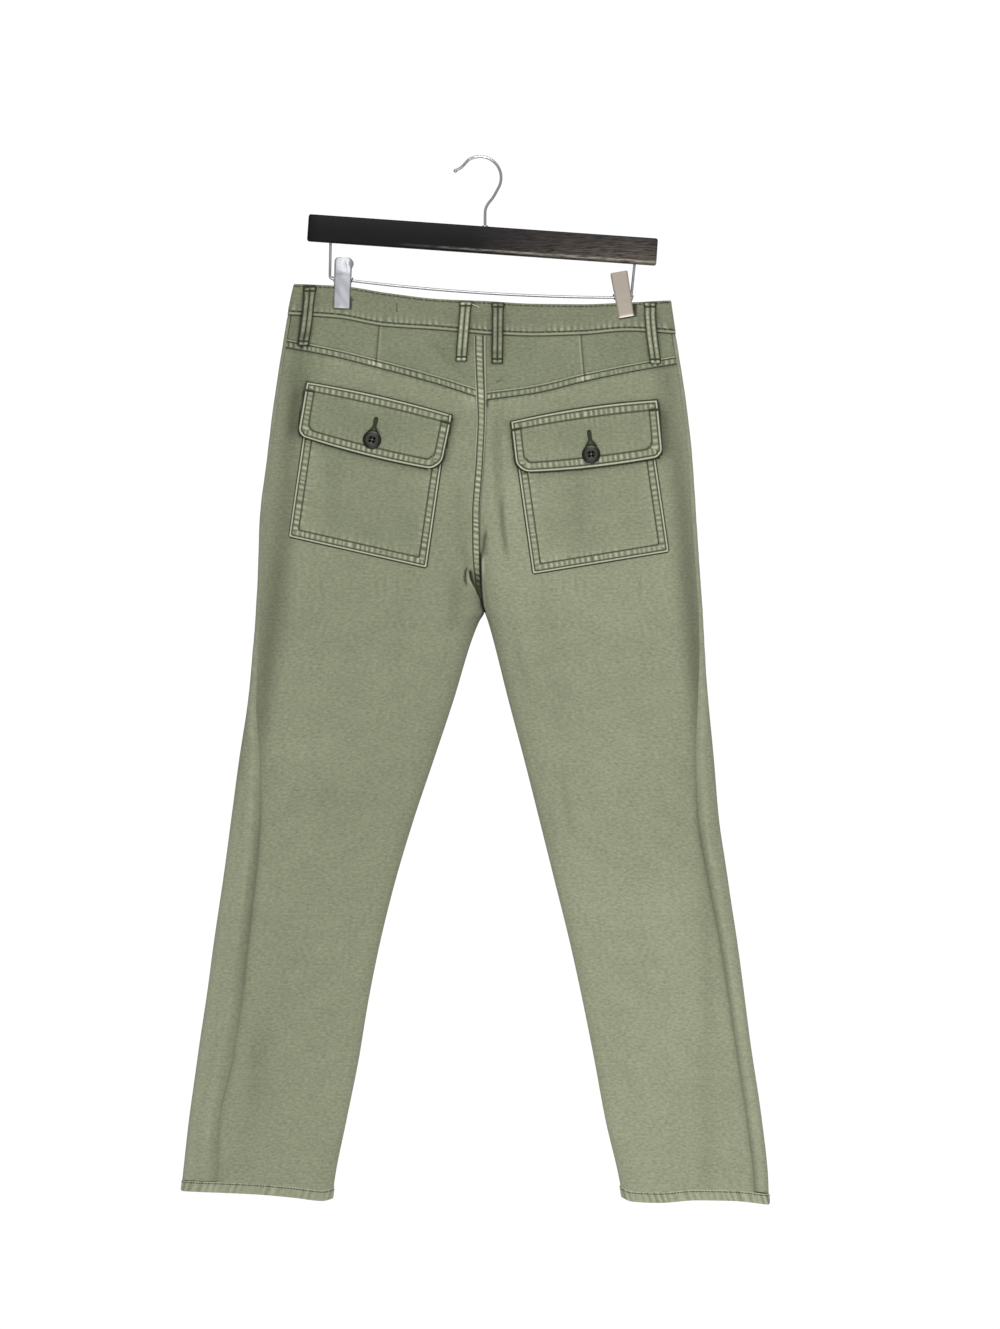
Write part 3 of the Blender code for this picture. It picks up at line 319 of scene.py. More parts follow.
# distance of the cloth from the middle plane: full depth times the rounds of its inner and outer edges
def halfDepth(side, front, x, drop):
    fromInner = np.maximum((x - innerEdge(side, drop)) * side, 0)
    leftIn = np.clip(1 - fromInner / innerRound(drop), 0, 1)
    leftOut = np.clip(1 - fromOuterEdge(side, x, drop) / section("edge", drop), 0, 1)
    openShare = openness(drop)
    shapeIn = np.sqrt(openShare ** 2 + (1 - openShare ** 2) * (1 - leftIn ** 2))
    shapeOut = np.sqrt(1 - leftOut ** 2)
    held = pinch(x, drop)
    full = np.where(front, section("front", drop), section("back", drop))
    full = full * (1 - held) + pinchedAt["halfDepth"] * held
    sunkBack = creaseSum("back", x, drop) + outseamDip(side, x, drop)
    full = full - np.where(front, creaseSum("front", x, drop), sunkBack)
    return full * shapeIn * shapeOut


# a half of the trousers as a flattened tube: station 0 at the inner seam, 1 at the outer edge, 2 inside again
def tubePoint(side, station, drop):
    front = station > 1
    fold = np.where(front, 2 - station, station)
    inner = innerEdge(side, drop)
    width = np.abs(bySide(side, "Out", drop) - inner)
    roundIn = innerRound(drop)
    roundOut = section("edge", drop)
    turnIn = np.clip(fold / form["innerEnd"], 0, 1) * quarterTurn
    turnOut = np.clip((fold - form["outerStart"]) / (1 - form["outerStart"]), 0, 1) * quarterTurn
    flatShare = np.clip((fold - form["innerEnd"]) / (form["outerStart"] - form["innerEnd"]), 0, 1)
    out = roundIn * (1 - np.cos(turnIn)) + flatShare * (width - roundIn - roundOut)
    out = out + roundOut * np.sin(turnOut)
    x = inner + side * out
    y = halfDepth(side, front, x, drop) * np.where(front, 1, -1)
    return np.stack(np.broadcast_arrays(x, y, -drop), axis=-1)


# how far across its half a station lies, 0 at the inner edge and 1 at the outer
def shareOf(side, station, drop):
    x = tubePoint(side, station, drop)[..., 0]
    inner = innerEdge(side, drop)
    return (x - inner) / (bySide(side, "Out", drop) - inner)


# the station of a place across the flat stretch, which is shareOf turned round
def stationAt(side, share, drop):
    width = np.abs(bySide(side, "Out", drop) - innerEdge(side, drop))
    flat = width - innerRound(drop) - section("edge", drop)
    start, stop = form["innerEnd"], form["outerStart"]
    return start + (share * width - innerRound(drop)) / flat * (stop - start)


# the outseam's station, where the outer round has turned in by the table's roll
def outseamStation(side, drop):
    turned = np.arcsin(1 - bySide(side, "Roll", drop) / section("edge", drop))
    return form["outerStart"] + (1 - form["outerStart"]) * turned / quarterTurn


# vectors divided by their lengths
def unit(vectors):
    return vectors / np.maximum(np.linalg.norm(vectors, axis=-1, keepdims=True), 1e-9)


# outward normals of the tube, from small steps across and down it
def tubeNormal(side, station, drop):
    aside, below = 0.004, 0.5
    ahead, behind = (tubePoint(side, np.clip(station + step, 0, 2), drop) for step in (aside, -aside))
    down = tubePoint(side, station, drop + below) - tubePoint(side, station, drop - below)
    return unit(np.cross(ahead - behind, down)) * -np.asarray(side, float)[..., None]


# points and normals of one half on a grid of stations and drops
def tubeFrame(side, station, drop):
    sides = np.full(np.shape(station), side)
    return tubePoint(sides, station, drop), tubeNormal(sides, station, drop)


# the point of the back or the front at x and drop, on the half that x is in
def facePoint(face, x, drop):
    side = np.where(x < section("leftIn", drop), -1, 1)
    y = halfDepth(side, face == "front", x, drop) * (1 if face == "front" else -1)
    return np.stack(np.broadcast_arrays(x, y, -drop), axis=-1)


# point, outward normal and the way down, from small differences of the surface
def faceFrame(face, x, drop):
    small = 0.5
    across = facePoint(face, x + small, drop) - facePoint(face, x - small, drop)
    down = facePoint(face, x, drop + small) - facePoint(face, x, drop - small)
    normal = unit(np.cross(across, down)) * (1 if face == "front" else -1)
    return facePoint(face, x, drop), normal, unit(down)


noiseTable = {"length": 997, "start": 211.3, "cells": 61, "startU": 120.7, "startV": 120.2}


# smooth one-way noise from -1 to 1: random values a period apart, blended by ease
def ripple(s, seed, period):
    length = noiseTable["length"]
    values = np.random.default_rng(seed).uniform(-1, 1, length)
    place = np.asarray(s) / period + noiseTable["start"]
    step = np.floor(place).astype(int)
    t = ease(place - step)
    return values[step % length] * (1 - t) + values[(step + 1) % length] * t


# smooth two-way noise from -1 to 1: random values on a square grid, blended both ways
def mottle(u, v, seed, period):
    cells = noiseTable["cells"]
    values = np.random.default_rng(seed).uniform(-1, 1, (cells, cells))
    placeU = np.asarray(u) / period + noiseTable["startU"]
    placeV = np.asarray(v) / period + noiseTable["startV"]
    stepU, stepV = np.floor(placeU).astype(int), np.floor(placeV).astype(int)
    tU, tV = ease(placeU - stepU), ease(placeV - stepV)
    low, high = (values[stepU % cells, row % cells] * (1 - tU) + values[(stepU + 1) % cells, row % cells] * tU
                 for row in (stepV, stepV + 1))
    return low * (1 - tV) + high * tV


# a sine whose phase and height wander: the small puckers that washing leaves between two rows of stitches
def pucker(s, seed, period=5.8):
    phase = np.asarray(s) * (2 * math.pi / period) + 2.6 * ripple(s, seed, period * 2.2)
    return np.sin(phase) * (0.62 + 0.45 * ripple(s, seed + 1, period * 1.7))


seamLook = {"groove": 0.42, "grooveWidth": 0.75, "ladder": 0.38, "ripples": 0.22, "fold": 0.4,
            "foldWidth": 0.7, "wornFold": 1.5, "wornFoldAt": 0.42, "wornFoldWidth": 0.75, "wornLadder": 0.62,
            "wornPast": 0.3, "darkGroove": 1.0, "darkWidth": 0.8, "darkLadder": 0.62, "past": 5.0}


# height, wear and dark at a distance d from a folded edge and s along it: grooves at the stitch rows,
# puckers between them, and fading puckers past the last row. The light is wear on the fold and on the
# puckers' tops; the dark is partly the rows' thread and partly painted shade in the grooves and in the
# puckers' hollows
def seamRelief(d, s, seed, rows, ladder=1.0):
    wave = pucker(s, seed)
    first, last = rows[0], rows[-1]
    between = ease((d - first - 0.3) / 1.3) * ease((last - 0.3 - d) / 1.3) * ladder * (d < last)
    past = np.maximum(d - last, 0)
    beyond = np.exp(-past / seamLook["past"]) * ease(past / 1.5)
    height = seamLook["ladder"] * wave * between + seamLook["ripples"] * wave * beyond
    height = height - bells(d, (seamLook["fold"], 0, seamLook["foldWidth"]),
                            *((seamLook["groove"], row, seamLook["grooveWidth"]) for row in rows))
    wearAndPaintedLight = seamLook["wornLadder"] * np.clip(0.15 + 1.1 * wave, 0, 1) * between
    wearAndPaintedLight = wearAndPaintedLight + seamLook["wornPast"] * np.clip(wave, 0, 1) * beyond
    wearAndPaintedLight = wearAndPaintedLight + seamLook["wornFold"] * hump(d - first * seamLook["wornFoldAt"],
                                              seamLook["wornFoldWidth"]) * (0.8 + 0.2 * wave)
    dark = seamLook["darkLadder"] * np.clip(-wave, 0, 1) * between
    dark = dark + bells(d, *((seamLook["darkGroove"], row, seamLook["darkWidth"]) for row in rows))
    return height, wearAndPaintedLight, dark


# lines for stitches, as (points, normals), gathered while the pieces are made
seams = {"yoke": [], "band": [], "hem": [], "patch": [], "loop": [], "tack": [], "centre": [], "fly": []}


# the line where a measure that falls down each column of a grid reaches a value
def columnLine(grid, normal, measure, value):
    below = np.argmax(measure < value, axis=0)
    below = np.clip(below, 1, len(grid) - 1)
    column = np.arange(grid.shape[1])
    high, low = measure[below - 1, column], measure[below, column]
    t = np.clip((high - value) / np.maximum(high - low, 1e-6), 0, 1)[:, None]
    return grid[below - 1, column] * (1 - t) + grid[below, column] * t, normal[below, column]


# screen colours from 0 to 255 as the shader's linear ones
def linear(rgb):
    shares = np.array(rgb) / 255
    return (*np.where(shares <= 0.04045, shares / 12.92, ((shares + 0.055) / 1.055) ** 2.4).tolist(), 1.0)


# a piece from arrays of points, in millimetres, and of faces; it rides on the one body
def makeMesh(name, points, faces, material, nodes, uv=None, marks=None, sharp=55):
    mesh = bpy.data.meshes.new(name)
    mesh.vertices.add(len(points))
    mesh.vertices.foreach_set("co", (np.asarray(points, float) * mm).ravel())
    corners = faces.shape[1]
    mesh.loops.add(faces.size)
    mesh.loops.foreach_set("vertex_index", faces.ravel().astype(np.int32))
    mesh.polygons.add(len(faces))
    mesh.polygons.foreach_set("loop_start", np.arange(0, faces.size, corners, dtype=np.int32))
    mesh.update(calc_edges=True)
    if uv is not None:
        layer = mesh.uv_layers.new(name="cloth")
        layer.data.foreach_set("uv", (uv[faces.ravel()] * mm).ravel())
    for key, values in (marks or {}).items():
        attribute = mesh.attributes.new(key, "FLOAT", "POINT")
        attribute.data.foreach_set("value", np.asarray(values, np.float32).ravel())
    mesh.materials.append(material)
    mesh.shade_smooth()
    mesh.set_sharp_from_angle(angle=math.radians(sharp))
    piece = bpy.data.objects.new(name, mesh)
    bpy.context.scene.collection.objects.link(piece)
    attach(piece, "root")
    if nodes:
        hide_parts(*nodes)


# the faces between the points of a grid
def gridFaces(rows, columns):
    spot = np.arange(rows * columns).reshape(rows, columns)
    return np.stack([spot[:-1, :-1], spot[1:, :-1], spot[1:, 1:], spot[:-1, 1:]], -1).reshape(-1, 4)


# the faces between rings of points, each closed on itself
def ringFaces(rings, sides):
    spot = np.arange(rings * sides).reshape(rings, sides)
    after = np.roll(spot, -1, axis=1)
    return np.stack([spot[:-1], after[:-1], after[1:], spot[1:]], -1).reshape(-1, 4)


# a wall: outer grid, inner grid and a rim between them; turned round if its faces point inwards
def makeWall(name, outer, inner, material, nodes, marks=None, uv=None):
    rows, columns = outer.shape[:2]
    size = rows * columns
    spot = np.arange(size).reshape(rows, columns)
    quads = gridFaces(rows, columns)
    rim = np.concatenate([spot[0, :-1], spot[:-1, -1], spot[-1, :0:-1], spot[:0:-1, 0]])
    after = np.roll(rim, -1)
    rimFaces = np.stack([rim, after, after + size, rim + size], -1)
    faces = np.concatenate([quads, quads[:, ::-1] + size, rimFaces])
    middle = (rows // 2, columns // 2)
    across = outer[middle[0], middle[1] + 1] - outer[middle]
    down = outer[middle[0] + 1, middle[1]] - outer[middle]
    if np.dot(np.cross(down, across), outer[middle] - inner[middle]) < 0:
        faces = faces[:, ::-1]
    points = np.concatenate([outer.reshape(-1, 3), inner.reshape(-1, 3)])
    doubled = {key: np.concatenate([np.broadcast_to(v, outer.shape[:2]).ravel()] * 2)
               for key, v in (marks or {}).items()}
    if uv is None:
        uv = np.stack([arcAcross(outer), -outer[..., 2]], axis=-1)
    uv = np.concatenate([uv.reshape(-1, 2)] * 2)
    makeMesh(name, points, faces, material, nodes, uv, doubled)


# distance along each row of a grid from its first column
def arcAcross(grid):
    steps = np.linalg.norm(np.diff(grid, axis=1), axis=-1)
    return np.concatenate([np.zeros((len(grid), 1)), np.cumsum(steps, axis=1)], axis=1)


# distance down each column of a grid from its first row
def arcDown(grid):
    return arcAcross(grid.transpose(1, 0, 2)).T


# a pattern's place on cloth that lies flat: x across and drop down
def flatPlace(x, drop):
    return np.stack([x, -drop], axis=-1)


# the grid with its rim drawn in by a distance
def drawnIn(grid, by):
    grid = grid.copy()
    grid[0] += unit(grid[1] - grid[0]) * by
    grid[-1] += unit(grid[-2] - grid[-1]) * by
    grid[:, 0] += unit(grid[:, 1] - grid[:, 0]) * by
    grid[:, -1] += unit(grid[:, -2] - grid[:, -1]) * by
    return grid


# the light colour serves worn cloth and painted highlights; the dark one serves dark lines and painted shade,
# and the darkest is painted black shade
cloths = {
    "deep": (124, 129, 105), "pale": (156, 160, 134), "wearAndPaintedLight": (208, 211, 184), "darkLinesAndPaintedShade": (52, 56, 38),
    "hollow": (16, 17, 12), "bandDeep": (119, 123, 100), "bandPale": (134, 138, 114),
    "weave": {"Pitch": 0.62, "Slub Long": 4.4, "Slub Tall": 2.3, "Mottle Size": 26.0},
    "shader": {"Roughness": 0.9, "Sheen Weight": 0.1, "Sheen Roughness": 0.6, "Specular IOR Level": 0.2},
    "slubShade": 1.02, "mottleShade": 0.27, "threadShade": 0.12, "threadWide": 2.4, "threadTall": 0.9,
    "hollowFrom": 1.3, "darkGain": 0.9, "rise": 0.18,
}


# a material with its tree of nodes and its shader
def newMaterial(name):
    material = bpy.data.materials.new(name)
    material.use_nodes = True
    return material, material.node_tree, material.node_tree.nodes["Principled BSDF"]


# a node whose settings are sockets where it has such a socket, and else its own properties
def addNode(tree, kind, **settings):
    node = tree.nodes.new(kind)
    for key, value in settings.items():
        if key in node.inputs:
            node.inputs[key].default_value = value
        else:
            setattr(node, key, value)
    return node


# values set directly on a node's sockets
def setSockets(node, values):
    for key, value in values.items():
        node.inputs[key].default_value = value


# one step of arithmetic on numbers or sockets
def mathNode(tree, operation, first, second=None, clamp=False):
    node = addNode(tree, "ShaderNodeMath", operation=operation, use_clamp=clamp)
    for socket, value in zip(node.inputs, (first, second)):
        if isinstance(value, (int, float)):
            socket.default_value = value
        elif value is not None:
            tree.links.new(value, socket)
    return node.outputs[0]


# value times gain
def times(tree, value, gain, clamp=False):
    return mathNode(tree, "MULTIPLY", value, gain, clamp)


# how far value is above a level, times gain
def aboveLevel(tree, value, level, gain, clamp=False):
    return times(tree, mathNode(tree, "SUBTRACT", value, level), gain, clamp)


# the first colour turning to the second as the factor goes from 0 to 1
def mixColour(tree, factor, first, second):
    node = addNode(tree, "ShaderNodeMix", data_type="RGBA")
    for socket, value in ((node.inputs[0], factor), (node.inputs[6], first), (node.inputs[7], second)):
        if isinstance(value, tuple):
            socket.default_value = value
        else:
            tree.links.new(value, socket)
    return node.outputs[2]


# a mark's value over the surface
def markOf(tree, key):
    return addNode(tree, "ShaderNodeAttribute", attribute_name=key).outputs["Fac"]


# the shader's normal raised by a height
def addBump(tree, shader, height, strength, distance):
    bump = addNode(tree, "ShaderNodeBump", Strength=strength, Distance=distance)
    tree.links.new(height, bump.inputs["Height"])
    tree.links.new(bump.outputs[0], shader.inputs["Normal"])


# plain canvas: crossed thread waves, long thin slubs, soft mottling; vector is the cloth's own metres
def canvasGroup():
    group = bpy.data.node_groups.new("canvasWeave", "ShaderNodeTree")
    group.interface.new_socket("Vector", in_out="INPUT", socket_type="NodeSocketVector")
    for name in cloths["weave"]:
        group.interface.new_socket(name, in_out="INPUT", socket_type="NodeSocketFloat")
    for name in ("Threads", "Slubs", "Mottle"):
        group.interface.new_socket(name, in_out="OUTPUT", socket_type="NodeSocketFloat")
    given = addNode(group, "NodeGroupInput").outputs
    wanted = addNode(group, "NodeGroupOutput").inputs
    parts = addNode(group, "ShaderNodeSeparateXYZ")
    group.links.new(given["Vector"], parts.inputs[0])
    across, along = (times(group, parts.outputs[axis], 1000.0) for axis in (0, 1))
    turn = mathNode(group, "DIVIDE", 2 * math.pi, given["Pitch"])
    warp, weft = (mathNode(group, "SINE", times(group, way, turn)) for way in (across, along))

    # noise in cells so many millimetres wide and tall
    def cloud(wide, tall, detail, roughness):
        place = addNode(group, "ShaderNodeCombineXYZ")
        group.links.new(mathNode(group, "DIVIDE", across, wide), place.inputs[0])
        group.links.new(mathNode(group, "DIVIDE", along, tall), place.inputs[1])
        noise = addNode(group, "ShaderNodeTexNoise", Scale=1.0, Detail=detail, Roughness=roughness)
        group.links.new(place.outputs[0], noise.inputs["Vector"])
        return noise.outputs[0]

    fine = cloud(cloths["threadWide"], cloths["threadTall"], 2.0, 0.6)
    woven = times(group, times(group, warp, weft), 0.5)
    group.links.new(mathNode(group, "ADD", woven, fine), wanted["Threads"])
    group.links.new(cloud(given["Slub Long"], given["Slub Tall"], 2.0, 0.7), wanted["Slubs"])
    group.links.new(cloud(given["Mottle Size"], given["Mottle Size"], 4.0, 0.6), wanted["Mottle"])
    return group


# washed canvas: deep to pale by the fade mark, which is partly painted light; lighter by the wear mark,
# where worn and as painted highlight; darker by the dark mark, for dark lines and painted shade, and
# near-black as painted black shade; the weave's threads, slubs and mottling shade it, and each cloth
# starts elsewhere in the weave
def clothMaterial(name, deep, pale, start):
    material, tree, shader = newMaterial(name)
    uv = addNode(tree, "ShaderNodeUVMap", uv_map="cloth")
    shift = addNode(tree, "ShaderNodeVectorMath", operation="ADD")
    shift.inputs[1].default_value = (start, start * 1.7, 0)
    tree.links.new(uv.outputs[0], shift.inputs[0])
    weave = addNode(tree, "ShaderNodeGroup", node_tree=weaveGroup)
    setSockets(weave, cloths["weave"])
    tree.links.new(shift.outputs[0], weave.inputs["Vector"])
    threads, slubs, mottling = (weave.outputs[key] for key in ("Threads", "Slubs", "Mottle"))
    level = mathNode(tree, "ADD", aboveLevel(tree, threads, 0.5, cloths["threadShade"]), 1.0)
    for part, shade in ((slubs, cloths["slubShade"]), (mottling, cloths["mottleShade"])):
        level = mathNode(tree, "ADD", level, aboveLevel(tree, part, 0.5, shade))
    scaled = addNode(tree, "ShaderNodeVectorMath", operation="SCALE")
    tree.links.new(mixColour(tree, markOf(tree, "fade"), linear(deep), linear(pale)), scaled.inputs[0])
    tree.links.new(level, scaled.inputs["Scale"])
    wearAndPaintedLightMix = times(tree, markOf(tree, "wearAndPaintedLight"), mathNode(tree, "ADD", threads, 0.42), clamp=True)
    colour = mixColour(tree, wearAndPaintedLightMix, scaled.outputs[0], linear(cloths["wearAndPaintedLight"]))
    dark = markOf(tree, "dark")
    colour = mixColour(tree, times(tree, dark, cloths["darkGain"], True), colour, linear(cloths["darkLinesAndPaintedShade"]))
    hollow = aboveLevel(tree, dark, cloths["hollowFrom"], cloths["darkGain"], True)
    colour = mixColour(tree, hollow, colour, linear(cloths["hollow"]))
    tree.links.new(colour, shader.inputs["Base Color"])
    setSockets(shader, cloths["shader"])
    relief = mathNode(tree, "ADD", times(tree, threads, 0.6), times(tree, slubs, 0.9))
    addBump(tree, shader, relief, 0.55, cloths["rise"] * mm)
    return material


# one colour and roughness, both varied by a cloud of noise
def plainMaterial(name, rgb, roughness, metallic=0.0, noise=0.0, noiseScale=200.0, bump=0.0, specular=0.5):
    material, tree, shader = newMaterial(name)
    place = addNode(tree, "ShaderNodeTexCoord")
    cloud = addNode(tree, "ShaderNodeTexNoise", Scale=noiseScale, Detail=4.0, Roughness=0.6)
    tree.links.new(place.outputs["Object"], cloud.inputs["Vector"])
    light = tuple(min(255, c * (1 + noise)) for c in rgb)
    dim = tuple(c * (1 - noise) for c in rgb)
    tree.links.new(mixColour(tree, cloud.outputs[0], linear(dim), linear(light)), shader.inputs["Base Color"])
    rough = mathNode(tree, "ADD", times(tree, cloud.outputs[0], roughness * 0.4), roughness * 0.8)
    tree.links.new(rough, shader.inputs["Roughness"])
    setSockets(shader, {"Metallic": metallic, "Specular IOR Level": specular})
    if bump:
        addBump(tree, shader, cloud.outputs[0], 0.4, bump * mm)
    return material


# the material's colour turns to another where the wear mark is 1: on the buttons a painted highlight, on
# the bright clip a painted reflection, and on the matte clip a cream foot edge
def rimmed(material, rgb):
    tree = material.node_tree
    base = tree.nodes["Principled BSDF"].inputs["Base Color"]
    tree.links.new(mixColour(tree, markOf(tree, "wearAndPaintedLight"), base.links[0].from_socket, linear(rgb)), base)


# places are in metres from the origin along the bar (x) and down across it (fall)
woodLook = {"lean": -4, "stretch": (22, 240, 240), "grainScale": 3.0, "black": (7, 6, 8),
            "brown": (110, 100, 92), "pale": (190, 181, 170), "brownFrom": -0.01, "brownGain": 6.0,
            "streakFrom": 0.36, "streakGain": 3.6, "topAt": 0.0713, "fallGain": 32.0, "brownLeast": 0.32,
            "lineFrom": -0.09, "lineGain": 7.0, "lineTop": 0.0232, "lineFoot": 0.0266, "lineEdge": 700.0,
            "lineShade": 0.75,
            "shader": {"Specular IOR Level": 0.18, "Roughness": 0.5}}


# black stained wood: long grain lines turn brown towards the right end and the foot, partly the rubbed
# grain's own colour and partly painted sheen, and a pale line along the foot's edge is a painted
# highlight; each is a product of steps along the bar and across it
def woodMaterial():
    material, tree, shader = newMaterial("stainedWood")
    place = addNode(tree, "ShaderNodeTexCoord").outputs["Object"]
    stretch = addNode(tree, "ShaderNodeMapping", Scale=woodLook["stretch"],
                      Rotation=(0, math.radians(woodLook["lean"]), 0))
    tree.links.new(place, stretch.inputs["Vector"])
    grain = addNode(tree, "ShaderNodeTexNoise", Scale=woodLook["grainScale"], Detail=6.0, Roughness=0.65)
    tree.links.new(stretch.outputs[0], grain.inputs["Vector"])
    parts = addNode(tree, "ShaderNodeSeparateXYZ")
    tree.links.new(place, parts.inputs[0])
    x, z = parts.outputs[0], parts.outputs[2]
    streak = aboveLevel(tree, grain.outputs[0], woodLook["streakFrom"], woodLook["streakGain"], True)
    slope = times(tree, x, math.tan(math.radians(woodLook["lean"])))
    fall = mathNode(tree, "SUBTRACT", slope, mathNode(tree, "ADD", z, woodLook["topAt"]))
    low = mathNode(tree, "ADD", times(tree, fall, woodLook["fallGain"], True), woodLook["brownLeast"])
    wearAndPaintedLight = times(tree, aboveLevel(tree, x, woodLook["brownFrom"], woodLook["brownGain"], True), low)
    wearAndPaintedLightMix = times(tree, wearAndPaintedLight, streak, True)
    colour = mixColour(tree, wearAndPaintedLightMix, linear(woodLook["black"]), linear(woodLook["brown"]))
    start = aboveLevel(tree, x, woodLook["lineFrom"], woodLook["lineGain"], True)
    top = aboveLevel(tree, fall, woodLook["lineTop"], woodLook["lineEdge"], True)
    foot = aboveLevel(tree, woodLook["lineFoot"], fall, woodLook["lineEdge"], True)
    line = times(tree, times(tree, times(tree, start, top), foot), times(tree, streak, woodLook["lineShade"]))
    tree.links.new(mixColour(tree, line, colour, linear(woodLook["pale"])), shader.inputs["Base Color"])
    setSockets(shader, woodLook["shader"])
    addBump(tree, shader, grain.outputs[0], 0.35, 0.3 * mm)
    return material


weaveGroup = canvasGroup()
canvas = clothMaterial("canvas", cloths["deep"], cloths["pale"], 0.0)
bandCanvas = clothMaterial("bandCanvas", cloths["bandDeep"], cloths["bandPale"], 0.31)
trimCanvas = clothMaterial("trimCanvas", cloths["deep"], cloths["pale"], 0.57)
thread = plainMaterial("thread", (56, 61, 42), 0.8, 0.0, 0.25, 900.0)
looseYarn = plainMaterial("looseYarn", (196, 198, 178), 0.85, 0.0, 0.1, 600.0)
paleThread = plainMaterial("paleThread", (136, 137, 128), 0.8, 0.0, 0.2, 900.0, 0.0, 0.2)
buttonFinish = plainMaterial("darkButton", (6, 7, 3), 0.32, 0.0, 0.3, 260.0, 0.05, 0.3)
# black for the buttons' holes, as painted shade
paintedHoleShade = plainMaterial("paintedHoleShade", (4, 4, 3), 0.9, 0.0, 0.2, 500.0, 0.0, 0.02)
wood = woodMaterial()
chrome = plainMaterial("chromeHook", (182, 183, 186), 0.2, 1.0, 0.05, 90.0)
wireSteel = plainMaterial("wireSteel", (166, 167, 169), 0.36, 1.0, 0.1, 90.0)
clipBright = plainMaterial("brightClip", (188, 189, 192), 0.38, 1.0, 0.06, 60.0)
clipMatte = plainMaterial("matteClip", (166, 156, 144), 0.5, 0.2, 0.04, 90.0, 0.05)
springSteel = plainMaterial("springSteel", (60, 60, 63), 0.4, 1.0, 0.1, 150.0)
# the matte clip's foot edge turns cream; the bright clip takes painted reflection bands, and the buttons a
# painted highlight on their ring
rimmed(clipMatte, (244, 236, 222))
rimmed(clipBright, (150, 152, 166))
rimmed(buttonFinish, (62, 63, 54))
print("materials made")


# the pockets and flaps by their corners, in (x, drop), with the bow of their foot and top
patchColumns = ("topOut", "topIn", "footOut", "footIn", "bow", "topBow", "roundOut", "roundIn")
pocketRows = {
    "left": ((-177.8, 250.5), (-34.6, 281.8), (-198.2, 395.3), (-55.8, 427.6), 0.0, 0.0, 2.0, 2.0),
    "right": ((175.2, 265.2), (34.6, 287.2), (196.1, 410.9), (55.3, 433.9), 0.0, 0.0, 2.0, 2.0),
}
flapRows = {
    "left": ((-179.9, 234.7), (-29.6, 269.1), (-188.8, 290.2), (-41.7, 326.6), 3.0, 2.6, 8.3, 14.6),
    "right": ((184.1, 253.5), (32.6, 275.9), (189.3, 312.3), (38.6, 328.4), 3.2, 3.2, 9.0, 14.6),
}
pockets = {side: dict(zip(patchColumns, row)) for side, row in pocketRows.items()}
flaps = {side: dict(zip(patchColumns, row)) for side, row in flapRows.items()}
holeRows = {"left": ((-107.6, 271.2), (-111.2, 288.8)), "right": ((113.2, 284.6), (115.6, 302.2))}
patchDetail = {"pocketCloth": 1.2, "flapCloth": 1.4, "flapLift": 2.3, "flapHinge": 11.0, "rowsAt": (2.3, 8.9),
               "borderStep": 0.75, "fieldStep": 1.7, "border": 11.0, "skirt": 1.2,
               "deeper": {"flap": 0.27, "pocket": 0.19}, "seeds": {"flap": 91, "pocket": 81}}


# how far a rounded corner draws a side in
def rounded(share, radius, length):
    up = np.clip((share * length - (length - radius)) / radius, 0, 1)
    return radius * (1 - np.sqrt(1 - up ** 2))


# x and drop of places on a patch, by shares across (from its outer side) and down; sides follow the corners
def patchPlace(patch, across, down):
    topOut, topIn, footOut, footIn = (np.array(patch[key], float) for key in patchColumns[:4])
    height = np.linalg.norm(footOut - topOut)
    width = np.linalg.norm(footIn - footOut)
    out, inner = (rounded(down, patch[key], height) / width for key in ("roundOut", "roundIn"))
    at = (out + (1 - out - inner) * across)[..., None]
    fall = np.asarray(down)[..., None]
    spot = (topOut * (1 - at) + topIn * at) * (1 - fall) + (footOut * (1 - at) + footIn * at) * fall
    bow = patch["bow"] * np.asarray(down) - patch["topBow"] * (1 - np.asarray(down))
    return spot[..., 0], spot[..., 1] + bow * 4 * at[..., 0] * (1 - at[..., 0])


# a patch's width and height, from corner to corner
def patchSize(patch):
    return math.dist(patch["topOut"], patch["topIn"]), math.dist(patch["topIn"], patch["footIn"])


# soft shade beside a raised edge, and the near-black line close under it
shadows = {"points": 48, "weakTop": 0.3, "line": 1.3,
           "flapOnLeg": {"reach": 3.2, "shade": 0.95, "lineFrom": 0.55, "lineTo": 0.85},
           "flapOnPocket": {"reach": 2.8, "shade": 0.85, "lineFrom": 0.5, "lineTo": 0.8},
           "pocketReach": 1.8, "pocketShade": 0.12}


# a patch's outline as points, each with the strength of its shadow (weak along the top)
def outlineOf(patch):
    t = np.linspace(0, 1, shadows["points"])
    across = np.concatenate([t, 1 + 0 * t, t[::-1], 0 * t])
    down = np.concatenate([0 * t, t, 1 + 0 * t, t[::-1]])
    x, drop = patchPlace(patch, across, down)
    return np.stack([x, drop, np.where(down > 0.03, 1.0, shadows["weakTop"])], axis=-1)


# the soft painted shade beside a raised outline, as deep as its nearest point makes it
def besideOutline(outline, x, drop, reach):
    shade = 0 * x
    for px, pdrop, strength in outline:
        shade = np.maximum(shade, strength * np.exp(-np.hypot(x - px, drop - pdrop) / reach))
    return shade


# a flap's shadow: soft shade that fades with distance, and a step to near-black close by
def flapShadow(sideName, x, drop, kind):
    look = shadows[kind]
    near = besideOutline(outlineOf(flaps[sideName]), x, drop, look["reach"])
    return look["shade"] * near + shadows["line"] * ramp(near, look["lineFrom"], look["lineTo"])


# shadows of both flaps and both pockets on the legs
def patchShade(x, drop):
    shade = 0 * x
    for sideName in sideOf:
        pocket = besideOutline(outlineOf(pockets[sideName]), x, drop, shadows["pocketReach"])
        shade = shade + flapShadow(sideName, x, drop, "flapOnLeg") + shadows["pocketShade"] * pocket
    return shade


